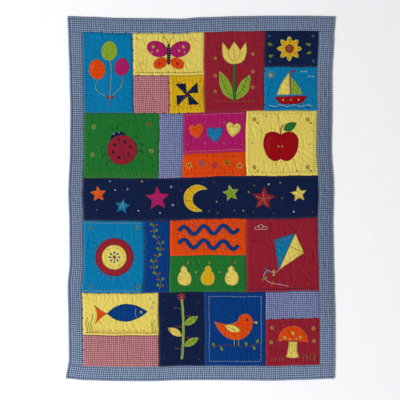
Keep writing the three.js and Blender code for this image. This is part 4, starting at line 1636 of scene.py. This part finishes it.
width, length = quilt["width"], quilt["length"]
borders = {
    "border_head": {"across": (0, width), "down": (0, border), "outer": (0, 1, 2)},
    "border_foot": {"across": (0, width), "down": (length - border, length), "outer": (0, 1, 3)},
    "border_left": {"across": (0, border), "down": (border, length - border), "outer": (0,)},
    "border_right": {
        "across": (width - border, width), "down": (border, length - border), "outer": (1,),
    },
}
for name, strip in borders.items():
    face = Face(name, strip["across"], strip["down"], quilt["borderLoft"], strip["outer"])
    pad = makePad(name + "_strip", face, "blueCheck")
    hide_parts(name)
print("quilt: borders made")

# The binding wraps the raw edge: its section, in from the quilt's edge and up
bindingLook = {
    "inset": (1.6, 5.0, 9.0, 9.0, 5.5, 2.0, 2.0, 5.5, 9.0, 9.1, 8.2, 5.0, 2.4, 0.9, 0.1, 0.0, 0.2, 0.8),
    "height": (0, 0, 0, 1.0, 1.0, 1.0, 4.9, 4.9, 4.9, 5.7, 6.2, 6.4, 6.2, 5.4, 4.1, 2.7, 1.2, 0.3),
    "flatWidth": 22.5,    # of the strip that it was folded from
    "station": 5.0,
    "mitreGap": 0.21,
    "ripple": 0.25,
    "rippleAbove": 5.2,   # only the upper side is uneven
}


def makeBinding(node, size, flatOf):
    look = bindingLook
    mesh = bmesh.new()
    columns = len(look["inset"])
    rows = round(size / look["station"])
    verts, fromSide, fromStart = newGrid(mesh, columns, rows)
    column = np.rint(fromSide * columns).astype(int)
    insets, heights = [np.array([*look[key], look[key][0]]) for key in ("inset", "height")]
    run = np.hypot(np.diff(insets), np.diff(heights))
    around = np.concatenate([[0], np.cumsum(run)])[column]
    insets, heights = insets[column], heights[column]
    mitre = insets + look["mitreGap"]
    along = np.clip(fromStart * size, mitre, size - mitre)
    ripple = look["ripple"] * np.sin(along / 6.1 + 1.5 * np.sin(along / 37))
    setClothPlaces(mesh, around, along)
    x, y = layCloth(*flatOf(along, insets))
    setPlaces(verts, x, y, heights + ripple * (heights > look["rippleAbove"]))
    for face in mesh.faces:
        face.smooth = True
    bmesh.ops.remove_doubles(mesh, verts=mesh.verts, dist=0.001)
    bmesh.ops.holes_fill(mesh, edges=[e for e in mesh.edges if e.is_boundary], sides=0)
    bmesh.ops.recalc_face_normals(mesh, faces=mesh.faces)
    strip = finished(node + "_fold", mesh, [cloths["blueCheck"]])
    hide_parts(node)


makeBinding("binding_head", width, lambda along, inset: (along, inset))
makeBinding("binding_foot", width, lambda along, inset: (along, length - inset))
makeBinding("binding_left", length, lambda along, inset: (inset, along))
makeBinding("binding_right", length, lambda along, inset: (width - inset, along))
print("quilt: binding made")

for name, embroider in embroidery.items():
    face = faces[name]
    x, y = layCloth(*middleOfPatch(name))
    sewing = Sewing(name, face.heightAt, (float(x), float(y)))
    for node in patches[name].get("motifs", ()):
        makeMotif(node, outlines[node], face)
        cloth = clothOf(node)
        sewing.satin(outlines[node], satin["paler"].get(cloth, cloth), liftOf(node))
    embroider(sewing)
    sewing.lift = onPatch
    sewRows(sewing, face)
    sewing.finish()
sewTacks()
print("quilt: motifs sewn on")

# Floor, light and camera

studio = {
    "floorSize": 40.0,     # metres, as the other sizes and places here are
    "floorDrop": 0.0005,
    "floorColours": ((0.78, 0.78, 0.8, 1), (0.82, 0.82, 0.84, 1)),
    "floorGrain": 40,
    "floorBump": 0.0002,
    "fill": 0.4,           # strength of the soft light from all round
    "fillColour": (1.0, 1.0, 1.02, 1),
    "keyPower": 700,
    "keySize": 2.4,
    "keyPlace": (-5.0, -2.5, 5.0),
    "cameraPlace": (-0.0015, -0.004, 3.126),
    "lens": 85,
}


def floorFinish():
    finish = Finish("pale_floor")
    grain = finish.noise(finish.quiltPlace(), studio["floorGrain"], 3.0)
    colour = finish.mix(*studio["floorColours"], grain)
    return finish.surface(colour, 0.9 - 0.05 * grain, grain, studio["floorBump"], {})


ground = bmesh.new()
bmesh.ops.create_grid(ground, x_segments=1, y_segments=1, size=studio["floorSize"] / 2)
bmesh.ops.translate(ground, vec=(0, 0, -studio["floorDrop"]), verts=ground.verts)
meshed("floor", ground, [floorFinish()])

world = bpy.data.worlds.new("studio")
world.use_nodes = True
background = world.node_tree.nodes["Background"]
background.inputs["Color"].default_value = studio["fillColour"]
background.inputs["Strength"].default_value = studio["fill"]
bpy.context.scene.world = world
bpy.context.scene.view_settings.view_transform = "Standard"

key = placed("key", bpy.data.lights.new("key", "AREA"))
key.data.size = studio["keySize"]
key.data.energy = studio["keyPower"]
key.location = studio["keyPlace"]
key.rotation_euler = (-key.location).to_track_quat("-Z", "Y").to_euler()

camera = placed("camera", bpy.data.cameras.new("camera"))
camera.data.lens = studio["lens"]
camera.location = studio["cameraPlace"]
bpy.context.scene.camera = camera
print("quilt: lit")
